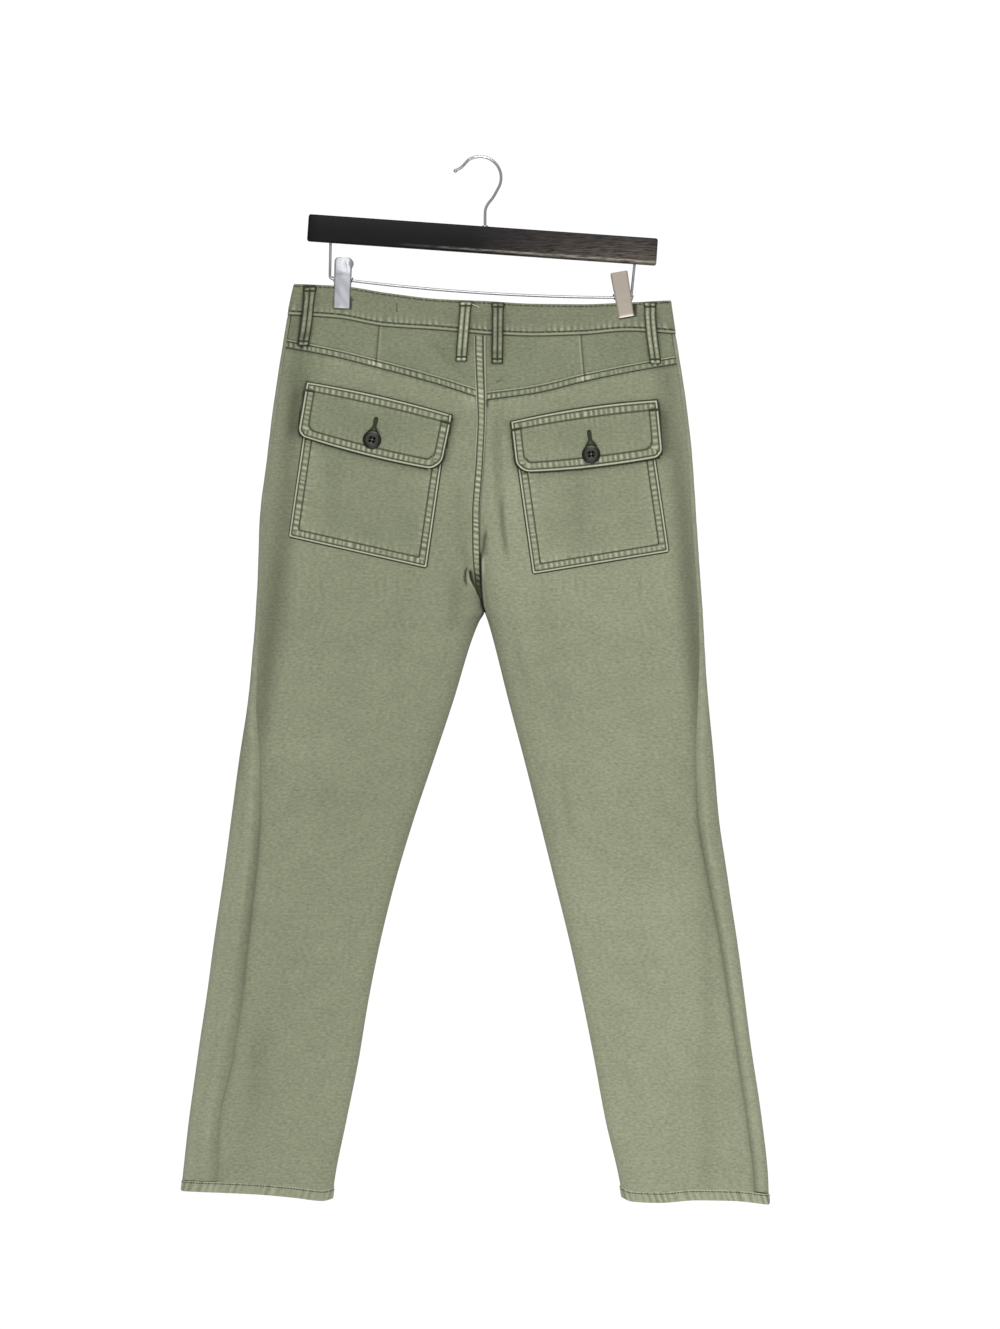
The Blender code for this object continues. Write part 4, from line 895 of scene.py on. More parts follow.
loopRows = (
    ("back", (-177.3, 135.0), (-184.4, 196.0)),
    ("back", (-14.6, 150.6), (-19.6, 212.4)),
    ("back", (18.8, 151.8), (18.0, 214.6)),
    ("back", (177.3, 151.2), (182.8, 215.2)),
    ("front", (-92.0, 160.0), (-94.0, 220.0)),
    ("front", (96.0, 170.0), (97.0, 230.0)),
)


loopShadow = {"strengths": (0.7, 0.35, 0.6, 0.35), "half": 5.6, "width": 1.6}


# painted shadow: the dark line along both sides of each belt loop at the back
def loopShade(x, drop):
    shade = 0 * (x + drop)
    for strength, (_, top, foot) in zip(loopShadow["strengths"], loopRows):
        share = (drop - top[1]) / (foot[1] - top[1])
        aside = np.abs(x - top[0] - (foot[0] - top[0]) * share)
        beside = hump(np.maximum(aside - loopShadow["half"], 0), loopShadow["width"])
        shade = shade + strength * beside * ramp(share, 1.06, 1)
    return shade


clipFeet = {"left": ((-152.2, 155.6), (-134.6, 157.0)), "right": ((146.0, 167.0), (162.4, 164.4))}
clipShadow = {"shade": 1.2, "width": 1.0, "gap": 0.3, "above": 12}


# painted shadow: the dark line on the waistband under each clip's foot and up its sides
def clipShade(x, drop):
    shade = 0 * (x + drop)
    for (startX, startDrop), (stopX, stopDrop) in clipFeet.values():
        share = (x - startX) / (stopX - startX)
        below = drop - startDrop - (stopDrop - startDrop) * np.clip(share, 0, 1)
        beside = np.maximum(np.maximum(startX - x, x - stopX), 0)
        away = np.hypot(np.maximum(below - clipShadow["gap"], 0), beside)
        near = clipShadow["shade"] * hump(away, clipShadow["width"]) * (below > -clipShadow["above"])
        shade = np.maximum(shade, near)
    return shade


panelDetail = {"rows": 172, "innerColumns": {"back": 40, "front": 14}, "flatColumns": 36, "outerColumns": 16,
               "foldColumns": 5, "stripWidth": 13.0, "stripRise": 0.55, "sway": 0.28, "fine": (396.0, 482.0),
               "fineRows": (48, 70, 142)}
fadeAndPaintedLightLevels = {"waist": 0.24, "down": 0.1, "right": 0.04, "rightDown": 0.18, "rightLow": 0.15, "low": 0.16,
          "clouds": 0.06, "cloudSize": 70}


# the levels of a panel's rows; at the back they are close round the crotch
def panelLevels(face):
    top, foot = form["topRow"], form["footRow"] - form["hemDepth"] + 0.8
    if face == "front":
        return np.linspace(top, foot, panelDetail["rows"])
    start, stop = panelDetail["fine"]
    above, beside, below = panelDetail["fineRows"]
    return np.concatenate([np.linspace(top, start, above)[:-1], np.linspace(start, stop, beside)[:-1],
                           np.linspace(stop, foot, below)])


# paler towards the feet, most of all on the right leg, where the lightening is painted light; with a
# darker waist and the table's broad places
def fadeAt(x, drop):
    right, down, low = ramp(x, -8, 22), ramp(drop, 225, 375), ramp(drop, 560, 980)
    fade = fadeAndPaintedLightLevels["waist"] + fadeAndPaintedLightLevels["down"] * down + fadeAndPaintedLightLevels["low"] * low
    fade = fade + right * (fadeAndPaintedLightLevels["right"] + fadeAndPaintedLightLevels["rightDown"] * down + fadeAndPaintedLightLevels["rightLow"] * low)
    for tone in tones:
        spot = tone["fade"] * hump(x - tone["x"], tone["wide"])
        fade = fade + spot * hump(drop - tone["drop"], tone["tall"])
    return np.clip(fade + fadeAndPaintedLightLevels["clouds"] * mottle(x, drop, 5, fadeAndPaintedLightLevels["cloudSize"]), 0, 1)


# even steps between the ends of each run, so many to a run
def inRuns(counts, ends):
    runs = [ends[0][:, None]]
    for count, start, stop in zip(counts, ends[:-1], ends[1:]):
        runs.append(start[:, None] + (stop - start)[:, None] * (np.arange(1, count + 1) / count))
    return np.concatenate(runs, axis=1)


# the levels moved at the top to meet the seam above, and at the foot to meet the hem
def panelDrops(side, share, levels, top, lift):
    nearTop = np.clip((form["crotch"] - levels) / (form["crotch"] - form["topRow"]), 0, 1)
    nearFoot = np.clip((levels - form["followHem"]) / (form["footRow"] - form["followHem"]), 0, 1)
    foot = hemDrop(side, share) - lift
    return levels + (top - form["topRow"]) * nearTop + (foot - form["footRow"]) * nearFoot


# a leg's back or front on a grid from seam to seam. Its relief is a slow sway, grooves and puckers at its
# edges and, on the front, the outseam's turnings as a low strip; rows of bells are (strength, place, width)
def makePanel(name, side, face, nodes):
    back = face == "back"
    levels = panelLevels(face)
    seamAt = outseamStation(side, levels)
    steady = np.ones_like(levels)
    inner = panelDetail["innerColumns"][face]
    flat, outer = panelDetail["flatColumns"], panelDetail["outerColumns"]
    if back:
        ends = [0 * steady, steady * form["innerEnd"], steady * form["outerStart"], seamAt]
        station = inRuns((inner, flat, outer), ends)
    else:
        ends = [seamAt, steady, steady * (2 - form["outerStart"]), steady * (2 - form["innerEnd"]),
                2 * steady]
        station = inRuns((panelDetail["foldColumns"], outer, flat, inner), ends)
    levels = np.broadcast_to(levels[:, None], station.shape)
    drop = levels
    # share and drop depend on each other, and settle in three rounds
    for _ in range(3):
        share = shareOf(side, station, drop)
        top = crossSeam("yokeFoot", side * share) if back else frontSeam("bandFoot", side * share)
        drop = panelDrops(side, share, levels, top, 0 if back else form["frontHemLift"])
    surface, normal = tubeFrame(side, station, drop)
    x = surface[..., 0]
    arcs, fromTop = arcAcross(surface), arcDown(surface)
    fromOutseam, fromInner = (arcs[:, -1:] - arcs, arcs) if back else (arcs, arcs[:, -1:] - arcs)
    fromEdge = fromOuterEdge(side, x, drop)
    seed = 40 + (side > 0) + 2 * (not back)
    lowered = ramp(drop, 600, 720)
    topWave = pucker(x, seed + 3)
    height = panelDetail["sway"] * mottle(x * 1.6, drop, seed, 46)
    height = height * ease(fromOutseam / 20) * ease(fromInner / 20)
    height = height - bells(fromTop, (0.3, 0, 0.9)) + 0.2 * topWave * np.exp(-fromTop / 6) * ease(fromTop / 2)
    height = height - bells(fromOutseam, (0.35, 0, 2.2)) * (0.3 + 0.7 * lowered)
    height = height - bells(fromInner, (0.3, 0, 1.1))
    wearAndPaintedLight = 0.35 * np.clip(topWave, 0, 1) * np.exp(-fromTop / 4) + bells(fromTop, (0.3, 1.3, 1.0))
    ending = 0.45 if side < 0 else 0.1
    sunk = lowered * (1 - ending * ramp(drop, 790, 950))
    # painted shade along the sunk outseam, under the yoke's lapped edge and in the creases
    dark = bells(fromOutseam, (0.3, 0, 1.4), (0.22, 0, 4.5)) * sunk + bells(fromTop, (0.5, 0, 0.9))
    dark = dark + creaseSum(face, x, drop, "shade")
    if back:
        # painted shadows of the flaps and pockets, painted shade in the side bands and the crotch's fold, and
        # a painted highlight on the fold's lip and along the outer edge
        wedgeDark, wedgeLip = wedgeMarks(x, drop)
        dark = dark + patchShade(x, drop) + bandSum(x, drop) + wedgeDark
        wearAndPaintedLight = wearAndPaintedLight + wedgeLip + bells(fromEdge, (0.12, 0, 9))
    else:
        wave = pucker(drop, seed + 9, 7.5)
        strip = ease(fromOutseam / 1.5) * ease((panelDetail["stripWidth"] - fromOutseam) / 3.5)
        height = height + strip * (panelDetail["stripRise"] + 0.14 * wave)
        wearAndPaintedLight = wearAndPaintedLight + strip * (0.1 + 0.14 * np.clip(wave, 0, 1))
        wearAndPaintedLight = wearAndPaintedLight + bells(fromOutseam, (0.22, 2, 1.2)) * lowered
        # painted light along the left leg's outer edge, where it turns from the light
        wearAndPaintedLight = wearAndPaintedLight + bells(fromEdge, (0.16, 0, 12)) * lowered * (side < 0)
    marks = {"fade": fadeAt(x, drop), "wearAndPaintedLight": wearAndPaintedLight, "dark": dark}
    outside = drawnIn(surface + normal * height[..., None], 0.05)
    inside = drawnIn(surface - normal * form["cloth"], form["seamGap"] / 2)
    makeWall(name, outside, inside, canvas, nodes, marks)


for sideName, side in sideOf.items():
    for face in ("back", "front"):
        panelNodes = [f"{face}_panel_{sideName}_{stretch}" for stretch in ("seat", "thigh", "shin")]
        makePanel(f"{face}_leg_{sideName}", side, face, panelNodes)
print("panels made")


hemDetail = {"columns": 372, "rise": 0.7, "stitchAt": 9.3, "bulk": 0.7, "bulkAt": 6, "bulkWidth": 9.0,
             "slant": 0.25, "period": 7.4, "marked": {-1: 0.6, 1: 1.0},
             "topRows": (0, 0.04, 0.08, 0.12, 0.16, 0.2, 0.24, 0.29), "footRows": (0.91, 0.95, 0.98, 1)}


# a turned-up band round the foot of a leg, pulled into short slanted puckers and thicker by the outseam
def makeHem(name, side):
    down = np.concatenate([hemDetail["topRows"], np.linspace(0.36, 0.86, 6), hemDetail["footRows"]])[:, None]
    station = np.linspace(0, 2, hemDetail["columns"])[None, :] * np.ones(down.shape)
    aboveFoot = form["hemDepth"] * (1 - down)
    lift = ramp(station, 0.9, 1.1) * form["frontHemLift"]
    drop = np.full(station.shape, form["footRow"])
    for _ in range(3):
        drop = hemDrop(side, shareOf(side, station, drop)) - lift - aboveFoot
    surface, normal = tubeFrame(side, station, drop)
    arcs = arcAcross(surface)
    wave = pucker(arcs + hemDetail["slant"] * aboveFoot, 71 + side, hemDetail["period"])
    seamArc = arcs[:, np.argmin(np.abs(station[0] - outseamStation(side, form["footRow"])))][:, None]
    bulk = hump(arcs - seamArc - hemDetail["bulkAt"], hemDetail["bulkWidth"])
    band = ease((form["hemDepth"] - aboveFoot) / 1.4)
    marked, stitchAt = hemDetail["marked"][side], hemDetail["stitchAt"]
    height = band * (hemDetail["rise"] + 0.3 * wave * ease(aboveFoot / 2)) + hemDetail["bulk"] * bulk * band
    height = height - bells(aboveFoot, (0.45, stitchAt, 0.7), (0.5, 0, 0.7))
    wearAndPaintedLight = 0.1 * band + 0.4 * marked * np.clip(wave, 0, 1) * band + 0.1 * bulk
    wearAndPaintedLight = wearAndPaintedLight + bells(aboveFoot, (0.1, 0.8, 0.8))
    wearAndPaintedLight = wearAndPaintedLight + bells(aboveFoot, (0.72, form["hemDepth"] - 0.5, 0.8)) * marked * (0.7 + 0.4 * wave)
    # dark: partly the row's thread, partly painted shade in its groove and in the puckers' hollows
    dark = bells(aboveFoot, (0.4, stitchAt, 0.7)) + 0.62 * marked * np.clip(-wave - 0.05, 0, 1) * band
    marks = {"fade": fadeAt(surface[..., 0], drop), "wearAndPaintedLight": wearAndPaintedLight, "dark": dark}
    outside = surface + normal * height[..., None]
    seams["hem"].append(columnLine(outside, normal, np.broadcast_to(aboveFoot, station.shape), stitchAt))
    makeWall(name, outside, surface - normal * form["cloth"], canvas, [], marks)


for sideName, side in sideOf.items():
    makeHem(f"hem_{sideName}", side)
print("hems made")


yokeDetail = {"split": {"left": 0.535, "right": 0.5}, "rows": 58, "columns": 76, "bandTop": 8.6,
              "bandRise": 0.5, "rowsAt": (0.6, 6.8), "deeper": 0.25}


# one of the yoke's four pieces, between the waistband and the leg; its foot is the lapped seam, a raised
# band with two rows of stitches and puckers between them; rows of bells are (strength, place, width)
def makeYoke(name, side, split, outerPiece, node):
    rows = np.linspace(0, 1, yokeDetail["rows"])
    top = crossSeam("bandFoot", side * split)
    drop = top + (crossSeam("yokeFoot", side * split) - top) * rows
    upright = stationAt(side, split, drop)
    ends = [upright, outseamStation(side, drop)] if outerPiece else [0 * drop, upright]
    station = inRuns((yokeDetail["columns"],), ends)
    drop = np.broadcast_to(drop[:, None], station.shape)
    for _ in range(3):
        across = side * shareOf(side, station, drop)
        top = crossSeam("bandFoot", across)
        drop = top + (crossSeam("yokeFoot", across) - top) * rows[:, None]
    surface, normal = tubeFrame(side, station, drop)
    x = surface[..., 0]
    down = arcDown(surface)
    aboveFoot = down[-1:] - down
    arcs = arcAcross(surface)
    fromUpright = arcs if outerPiece else arcs[:, -1:] - arcs
    wave = pucker(x, 15 + side)
    bandTop = yokeDetail["bandTop"]
    low, high = yokeDetail["rowsAt"]
    between = ease((aboveFoot - low - 0.4) / 1.2) * ease((high - 0.4 - aboveFoot) / 1.2)
    height = yokeDetail["bandRise"] * ease((bandTop + 0.3 - aboveFoot) / 0.8)
    height = height + seamLook["ladder"] * wave * between
    height = height - bells(aboveFoot, (0.42, high, 0.75), (0.42, low, 0.8))
    height = height - bells(fromUpright, (0.25, 0, 1.0), (-0.1, 2.5, 2.0))
    wearAndPaintedLight = between * (0.52 * np.clip(0.1 + 1.1 * wave, 0, 1) + bells(fromUpright, (0.7, 0, 6.5)))
    wearAndPaintedLight = wearAndPaintedLight + bells(aboveFoot, (0.85, bandTop - 0.7, 0.7)) * (0.8 + 0.2 * wave)
    wearAndPaintedLight = wearAndPaintedLight + bells(fromUpright, (0.3, 1.4, 0.8)) * (not outerPiece)
    # dark: the stitch rows' thread with painted shade in their grooves, painted shadow above the lapped edge,
    # under the waistband and beside the loops, and painted shade at the left end, in creases and puckers'
    # hollows
    dark = bells(aboveFoot, (1.05, high, 0.8), (1.2, low - 0.4, 0.75), (0.5, bandTop + 0.9, 0.6))
    dark = dark + bells(fromUpright, (0.55, 0, 0.5)) + bells(down, (0.8, 0, 0.9)) + loopShade(x, drop)
    dark = dark + 0.2 * ramp(x, -168, -184) + creaseSum("back", x, drop, "shade")
    dark = dark + seamLook["darkLadder"] * np.clip(-wave, 0, 1) * between
    marks = {"fade": np.clip(fadeAt(x, drop) - yokeDetail["deeper"], 0, 1), "wearAndPaintedLight": wearAndPaintedLight, "dark": dark}
    outside = drawnIn(surface + normal * height[..., None], form["seamGap"] / 2)
    inside = drawnIn(surface - normal * form["cloth"], form["seamGap"] / 2)
    for row in (low + 0.1, high):
        seams["yoke"].append(columnLine(outside, normal, aboveFoot, row))
    makeWall(name, outside, inside, canvas, [node], marks)


for sideName, side in sideOf.items():
    for part in ("inner", "outer"):
        makeYoke(f"yoke_{sideName}_{part}_cloth", side, yokeDetail["split"][sideName], part == "outer",
                 f"yoke_{sideName}_{part}")
print("yoke made")


bandDetail = {"under": 0.17, "over": 0.05, "rampStart": 0.07, "rampEnd": 0.13, "rows": 12, "height": 33.0,
              "stitchTop": 2.3, "stitchFoot": 4.1, "dash": 5.6, "steps": (30, 62, 24), "underSteps": 14,
              "nearTop": (0, 0.5, 1.1, 1.6, 2.0, 2.3, 2.6, 3.0, 3.6, 4.6),
              "nearFoot": (10, 8, 6.8, 5.9, 5.2, 4.75, 4.4, 4.1, 3.8, 3.4, 2.9, 2.3, 1.8, 1.3, 0.8, 0.4, 0)}


# stations all round: the tucked end, the right front, the back, the left front and the lapping end
def bandStations():
    first, second, third = bandDetail["steps"]
    walk = np.concatenate([np.linspace(0, form["innerEnd"], first)[:-1],
                           np.linspace(form["innerEnd"], form["outerStart"], second)[:-1],
                           np.linspace(form["outerStart"], 1, third)])
    frontWalk = walk[::2] if walk.size % 2 else np.append(walk[::2], 1.0)
    under = np.linspace(bandDetail["under"], 0, bandDetail["underSteps"])[:-1]
    right = np.concatenate([2 - frontWalk[frontWalk > 0.02], walk[-2::-1]])
    left = np.concatenate([walk[1:], 2 - frontWalk[-2::-1]])
    station = np.concatenate([2 - under, right, left, [2 - bandDetail["over"] / 2, 2 - bandDetail["over"]]])
    side = np.concatenate([-np.ones(under.size), np.ones(right.size), -np.ones(left.size), [1.0, 1.0]])
    return station, side, under.size, right.size


# drops between the band's two edges, at a share of the way down from its top
def bandDrop(side, station, down):
    drop = np.full(np.broadcast(station, down).shape, form["bandMiddle"])
    for _ in range(3):
        across = side * shareOf(side, station, drop)
        top = np.where(station > 1, frontSeam("waistTop", across), crossSeam("waistTop", across))
        foot = np.where(station > 1, frontSeam("bandFoot", across), crossSeam("bandFoot", across))
        drop = top + (foot - top) * down
    return drop


# a strip all round the waist whose tucked end sinks under the lapping one; it has a row of broken stitches
# near each edge, puckers above the lower row, and a rolled upper edge
def makeWaistband():
    station, side, underCount, rightCount = bandStations()
    tucked = np.where(side > 0, 1 - ramp(2 - station, bandDetail["rampStart"], bandDetail["rampEnd"]), 1)
    lapping = (np.arange(station.size) < underCount + rightCount // 2) & (station > 1)
    sink = np.where(lapping, tucked, 0) * (form["bandRise"] + form["cloth"] + form["seamGap"])
    tall, topRow, footRow = bandDetail["height"], bandDetail["stitchTop"], bandDetail["stitchFoot"]
    down = np.concatenate([bandDetail["nearTop"], np.linspace(6, tall - 11.5, bandDetail["rows"]),
                           tall - np.array(bandDetail["nearFoot"])])[:, None] / tall
    station = np.broadcast_to(station, (down.size, station.size))
    side = np.broadcast_to(side, station.shape)
    drop = bandDrop(side, station, down)
    surface, normal = tubeFrame(side, station, drop)
    x = surface[..., 0]
    fromTop = arcDown(surface)
    aboveFoot = fromTop[-1:] - fromTop
    around = arcAcross(surface)[:1]
    wave = pucker(around, 27, 6.4)
    topWave = pucker(around, 33, 7.5)
    past = ramp(aboveFoot, 4.6, 5.8) * np.exp(-np.maximum(aboveFoot - 5.4, 0) / 3.2)
    height = form["bandRise"] + 0.3 * wave * past + 0.12 * topWave * hump(fromTop - 3, 3)
    height = height - bells(aboveFoot, (0.42, footRow, 0.7), (0.4, 0, 0.6))
    height = height - bells(fromTop, (0.3, topRow, 0.7), (0.6, 0, 0.9))
    height = height + 0.15 * mottle(around * 1.2, aboveFoot, 8, 24) * ease(aboveFoot / 8) * ease(fromTop / 8)
    wearAndPaintedLight = bells(aboveFoot, (0.36, 1.9, 0.8)) + 0.55 * np.clip(0.25 + wave, 0, 1) * past
    wearAndPaintedLight = wearAndPaintedLight + bells(fromTop, (0.35, 0.8, 0.7)) * (0.5 + 0.5 * topWave)
    dashes = 0.6 + 0.5 * np.cos(around * (2 * math.pi / bandDetail["dash"]) + 1.5 * ripple(around, 36, 11))
    # dark: the stitch rows' thread in dashes, painted shade at both edges and in the puckers' hollows, and
    # painted shadows of the loops and clips
    dark = bells(aboveFoot, (1.0, footRow, 0.85)) * (0.3 + dashes) + bells(aboveFoot, (1.2, 0, 0.7))
    dark = dark + bells(fromTop, (1.0, topRow, 0.85)) * dashes + bells(fromTop, (0.6, 0, 0.7))
    dark = dark + 0.4 * np.clip(-wave, 0, 1) * past
    dark = dark + (loopShade(x, drop) + clipShade(x, drop)) * (station < 1)
    # paler towards the right, as painted light
    marks = {"fade": 0.16 + 0.16 * ramp(x, -40, 200), "wearAndPaintedLight": wearAndPaintedLight, "dark": dark}
    outside = surface + normal * (height - sink)[..., None]
    inside = surface - normal * (form["cloth"] + sink)[..., None]
    uv = flatPlace(arcAcross(surface), drop)
    seams["band"].append(columnLine(outside, normal, aboveFoot, footRow))
    seams["band"].append(columnLine(outside, normal, -fromTop, -topRow))
    makeWall("waistband_cloth", outside, inside, bandCanvas, ["waistband"], marks, uv)


makeWaistband()
print("waistband made")


# stations from 0 to 1 that are close near both ends, where the stitched borders are
def borderSteps(length, first=True):
    border, fine, coarse, skirt = (patchDetail[key] for key in ("border", "borderStep", "fieldStep", "skirt"))
    edge = np.concatenate([[-skirt, -skirt / 2], np.arange(0, border, fine)])
    start = edge if first else np.array([0.0])
    stop = length - edge[::-1]
    middle = np.linspace(start[-1], stop[0], max(2, int((stop[0] - start[-1]) / coarse)))
    return np.concatenate([start, middle[1:-1], stop]) / length


# a flap's lift off the leg: the laid gap at its seam, rising to its full lift at the hinge's end
def flapLift(patch, down):
    standing = ease(down * patchSize(patch)[1] / patchDetail["flapHinge"])
    return form["layGap"] + (patchDetail["flapLift"] - form["layGap"]) * standing


# distance in from the nearest border, and how far along that border the place is; at the foot's corners
# the lines of equal distance turn in curves
def borderDistance(patch, across, down, borders):
    width, height = patchSize(patch)
    out, inner = (rounded(down, patch[key], height) for key in ("roundOut", "roundIn"))
    fromOut = out + across * (width - out - inner)
    fromIn, fromTop, fromFoot = width - fromOut, down * height, (1 - down) * height
    sides = {"top": (fromTop, fromOut), "foot": (fromFoot, fromOut), "out": (fromOut, fromTop + 300),
             "in": (fromIn, fromTop + 600)}
    distance = np.stack([np.broadcast_to(sides[key][0], np.broadcast(across, down).shape) for key in borders])
    along = np.stack([np.broadcast_to(sides[key][1], distance.shape[1:]) for key in borders])
    nearest = np.argmin(distance, axis=0)[None]
    near = np.take_along_axis(distance, nearest, 0)[0]
    for aside, radius in ((fromOut, patch["roundOut"]), (fromIn, patch["roundIn"])):
        inCorner = (aside < radius) & (fromFoot < radius)
        turned = radius - np.hypot(radius - aside, radius - fromFoot)
        corner = np.where(inCorner, turned, np.minimum(aside, fromFoot))
        blend = np.clip(corner * 1.3, 0.1, min(9.5, radius))
        corner = corner - np.maximum(blend - np.abs(aside - fromFoot), 0) ** 2 / (4 * blend) * (corner > 0)
        near = np.where(inCorner, corner, np.minimum(near, corner))
    return near, np.take_along_axis(along, nearest, 0)[0]


# how far a flap's cloth and a pocket's cloth wander from their flat shape
def patchSway(kind, across, down, seed):
    if kind == "flap":
        return 0.5 * ease(down * 1.6 - 0.5) * (0.5 + 0.5 * ripple(across * 150, seed, 38))
    return 0.25 * mottle(across * 150, down * 150, seed, 30)


holeLook = {"shade": 0.42, "narrow": 2.2, "spread": 7.0, "soft": 3.5}


# painted shade on the flap round its buttonhole, as a wedge that opens towards the button
def holeShade(kind, x, drop):
    shade = 0 * x
    if kind == "flap":
        for top, foot in holeRows.values():
            t = (drop - top[1]) / (foot[1] - top[1])
            aside = np.abs(x - top[0] - (foot[0] - top[0]) * t)
            reach = holeLook["narrow"] + holeLook["spread"] * ramp(t, 0.3, 1)
            near = ease((reach - aside) / holeLook["soft"])
            shade = shade + holeLook["shade"] * near * ramp(t, 0, 0.25) * ramp(t, 1.5, 1.2)
    return shade


# a patch's outer and inner surface, normal and marks: the leg's surface moved out by lift and cloth, with
# the seams' relief along its borders; just past a border the outer surface turns down to the inner one
def patchSurface(kind, patch, across, down, seed):
    x, drop = patchPlace(patch, across, down)
    surface, normal, _ = faceFrame("back", x, drop)
    if kind == "flap":
        lift, cloth, borders = flapLift(patch, down), patchDetail["flapCloth"], ("top", "foot", "out", "in")
    else:
        lift, cloth, borders = form["layGap"] + 0 * down, patchDetail["pocketCloth"], ("foot", "out", "in")
    distance, along = borderDistance(patch, across, down, borders)
    height, wearAndPaintedLight, dark = seamRelief(distance, along, seed, patchDetail["rowsAt"])
    sway = patchSway(kind, across, down, seed)
    if kind == "pocket":
        past = distance - patchDetail["rowsAt"][1] - 1.2
        ticks = np.clip(pucker(along, seed, 7.5), 0, 1) * ease(past / 1.2 + 1)
        wearAndPaintedLight = wearAndPaintedLight + 0.45 * ticks * np.exp(-np.maximum(past, 0) / 2.4)
        # the flap's painted shadow and the creases' painted shade on the pocket
        dark = dark + flapShadow("left" if np.mean(x) < 0 else "right", x, drop, "flapOnPocket")
        dark = dark + creaseSum("back", x, drop, "shade")
        sway = sway * ease(distance / 14)
    beside = ease(-distance / patchDetail["skirt"])
    height = (height + sway) * (1 - beside) - (cloth - 0.1) * beside
    # the rim turned down past the border is painted near-black as shade, and the flap gets painted shade
    # round its buttonhole
    dark = dark + 1.6 * ramp(distance, 0.25, -0.25) + holeShade(kind, x, drop)
    wearAndPaintedLight = wearAndPaintedLight * (1 - ramp(distance, 0.1, -0.3))
    lift = lift * (1 - (0.85 * beside if kind == "pocket" else 0))
    outside = surface + normal * (lift + cloth + height)[..., None]
    inside = surface + normal * np.broadcast_to(lift, x.shape)[..., None]
    return outside, inside, normal, wearAndPaintedLight, dark, x, drop


# the line of a stitch row round a patch at a distance in from its border: from each place on the border a
# ray runs towards the middle, and the row lies where the distance is reached
def patchLine(kind, patch, inset, seed):
    width, height = patchSize(patch)
    out, up = inset / width, inset / height
    count = 90
    top = up if kind == "flap" else 0.0
    side = np.linspace(top, 1, count)
    foot = np.linspace(0, 1, count)[1:]
    across = np.concatenate([np.zeros(count), foot, np.ones(count - 1)])
    down = np.concatenate([side, np.ones(count - 1), side[-2::-1]])
    if kind == "flap":
        across = np.concatenate([across, np.linspace(1 - out, out, count)])
        down = np.concatenate([down, np.zeros(count)])
    onSide = (across == 0) | (across == 1)
    middleAcross = np.where(onSide | (down < 1), 0.5, np.clip(across, 0.3, 0.7))
    middleDown = np.where(onSide & (down < 1 - 20 / height), down, 0.45)
    middleAcross = np.where(down == 0, across, middleAcross)
    borders = ("top", "foot", "out", "in") if kind == "flap" else ("foot", "out", "in")
    share = np.linspace(0, 0.75, 260)[:, None]
    rayAcross = across + (middleAcross - across) * share
    rayDown = down + (middleDown - down) * share
    distance, _ = borderDistance(patch, rayAcross, rayDown, borders)
    if kind == "flap":
        skipTop = borderDistance(patch, rayAcross, rayDown, ("foot", "out", "in"))[0]
        distance = np.where(onSide & (down < up * 3), skipTop, distance)
    hit = np.argmax(distance >= inset, axis=0)
    column = np.arange(across.size)
    outside, _, normal, *_ = patchSurface(kind, patch, rayAcross[hit, column], rayDown[hit, column], seed)
    return outside, normal


# a pocket or a flap on a grid that is close near its stitched borders
def makePatch(name, kind, patch, seed, node):
    width, height = patchSize(patch)
    down = borderSteps(height, first=kind == "flap")[:, None]
    down, across = np.broadcast_arrays(down, borderSteps(width)[None, :])
    outside, inside, _, wearAndPaintedLight, dark, x, drop = patchSurface(kind, patch, across, down, seed)
    fade = np.clip(fadeAt(x, drop) - patchDetail["deeper"][kind], 0, 1)
    for inset in patchDetail["rowsAt"]:
        seams["patch"].append(patchLine(kind, patch, inset, seed))
    makeWall(name, outside, inside, trimCanvas, [node], {"fade": fade, "wearAndPaintedLight": wearAndPaintedLight, "dark": dark},
             flatPlace(x, drop))


for sideName, side in sideOf.items():
    makePatch(f"patch_pocket_{sideName}", "pocket", pockets[sideName], patchDetail["seeds"]["pocket"] + side,
              f"back_pocket_{sideName}")
    makePatch(f"flap_{sideName}", "flap", flaps[sideName], patchDetail["seeds"]["flap"] + side,
              f"pocket_flap_{sideName}")
print("pockets and flaps made")


flyDetail = {"width": 36.0, "length": 150.0, "rows": 90, "columns": 30, "stitchAt": (3.0,), "roundRows": 12}


# the fly's lap as a patch: from the waistband's foot down beside the centre joint, with a round foot
def flyPatch():
    centre = float(section("leftIn", 260.0)) - form["seamGap"]
    top = float(frontSeam("bandFoot", 0.0)) + form["seamGap"] + form["layGap"]
    width, length = flyDetail["width"], flyDetail["length"]
    return {"topOut": (centre - width, top - 0.6), "topIn": (centre, top),
            "footOut": (centre - width, top + length), "footIn": (centre - 5, top + length),
            "bow": 0.0, "topBow": 0.0, "roundOut": width - 9, "roundIn": 1.5}


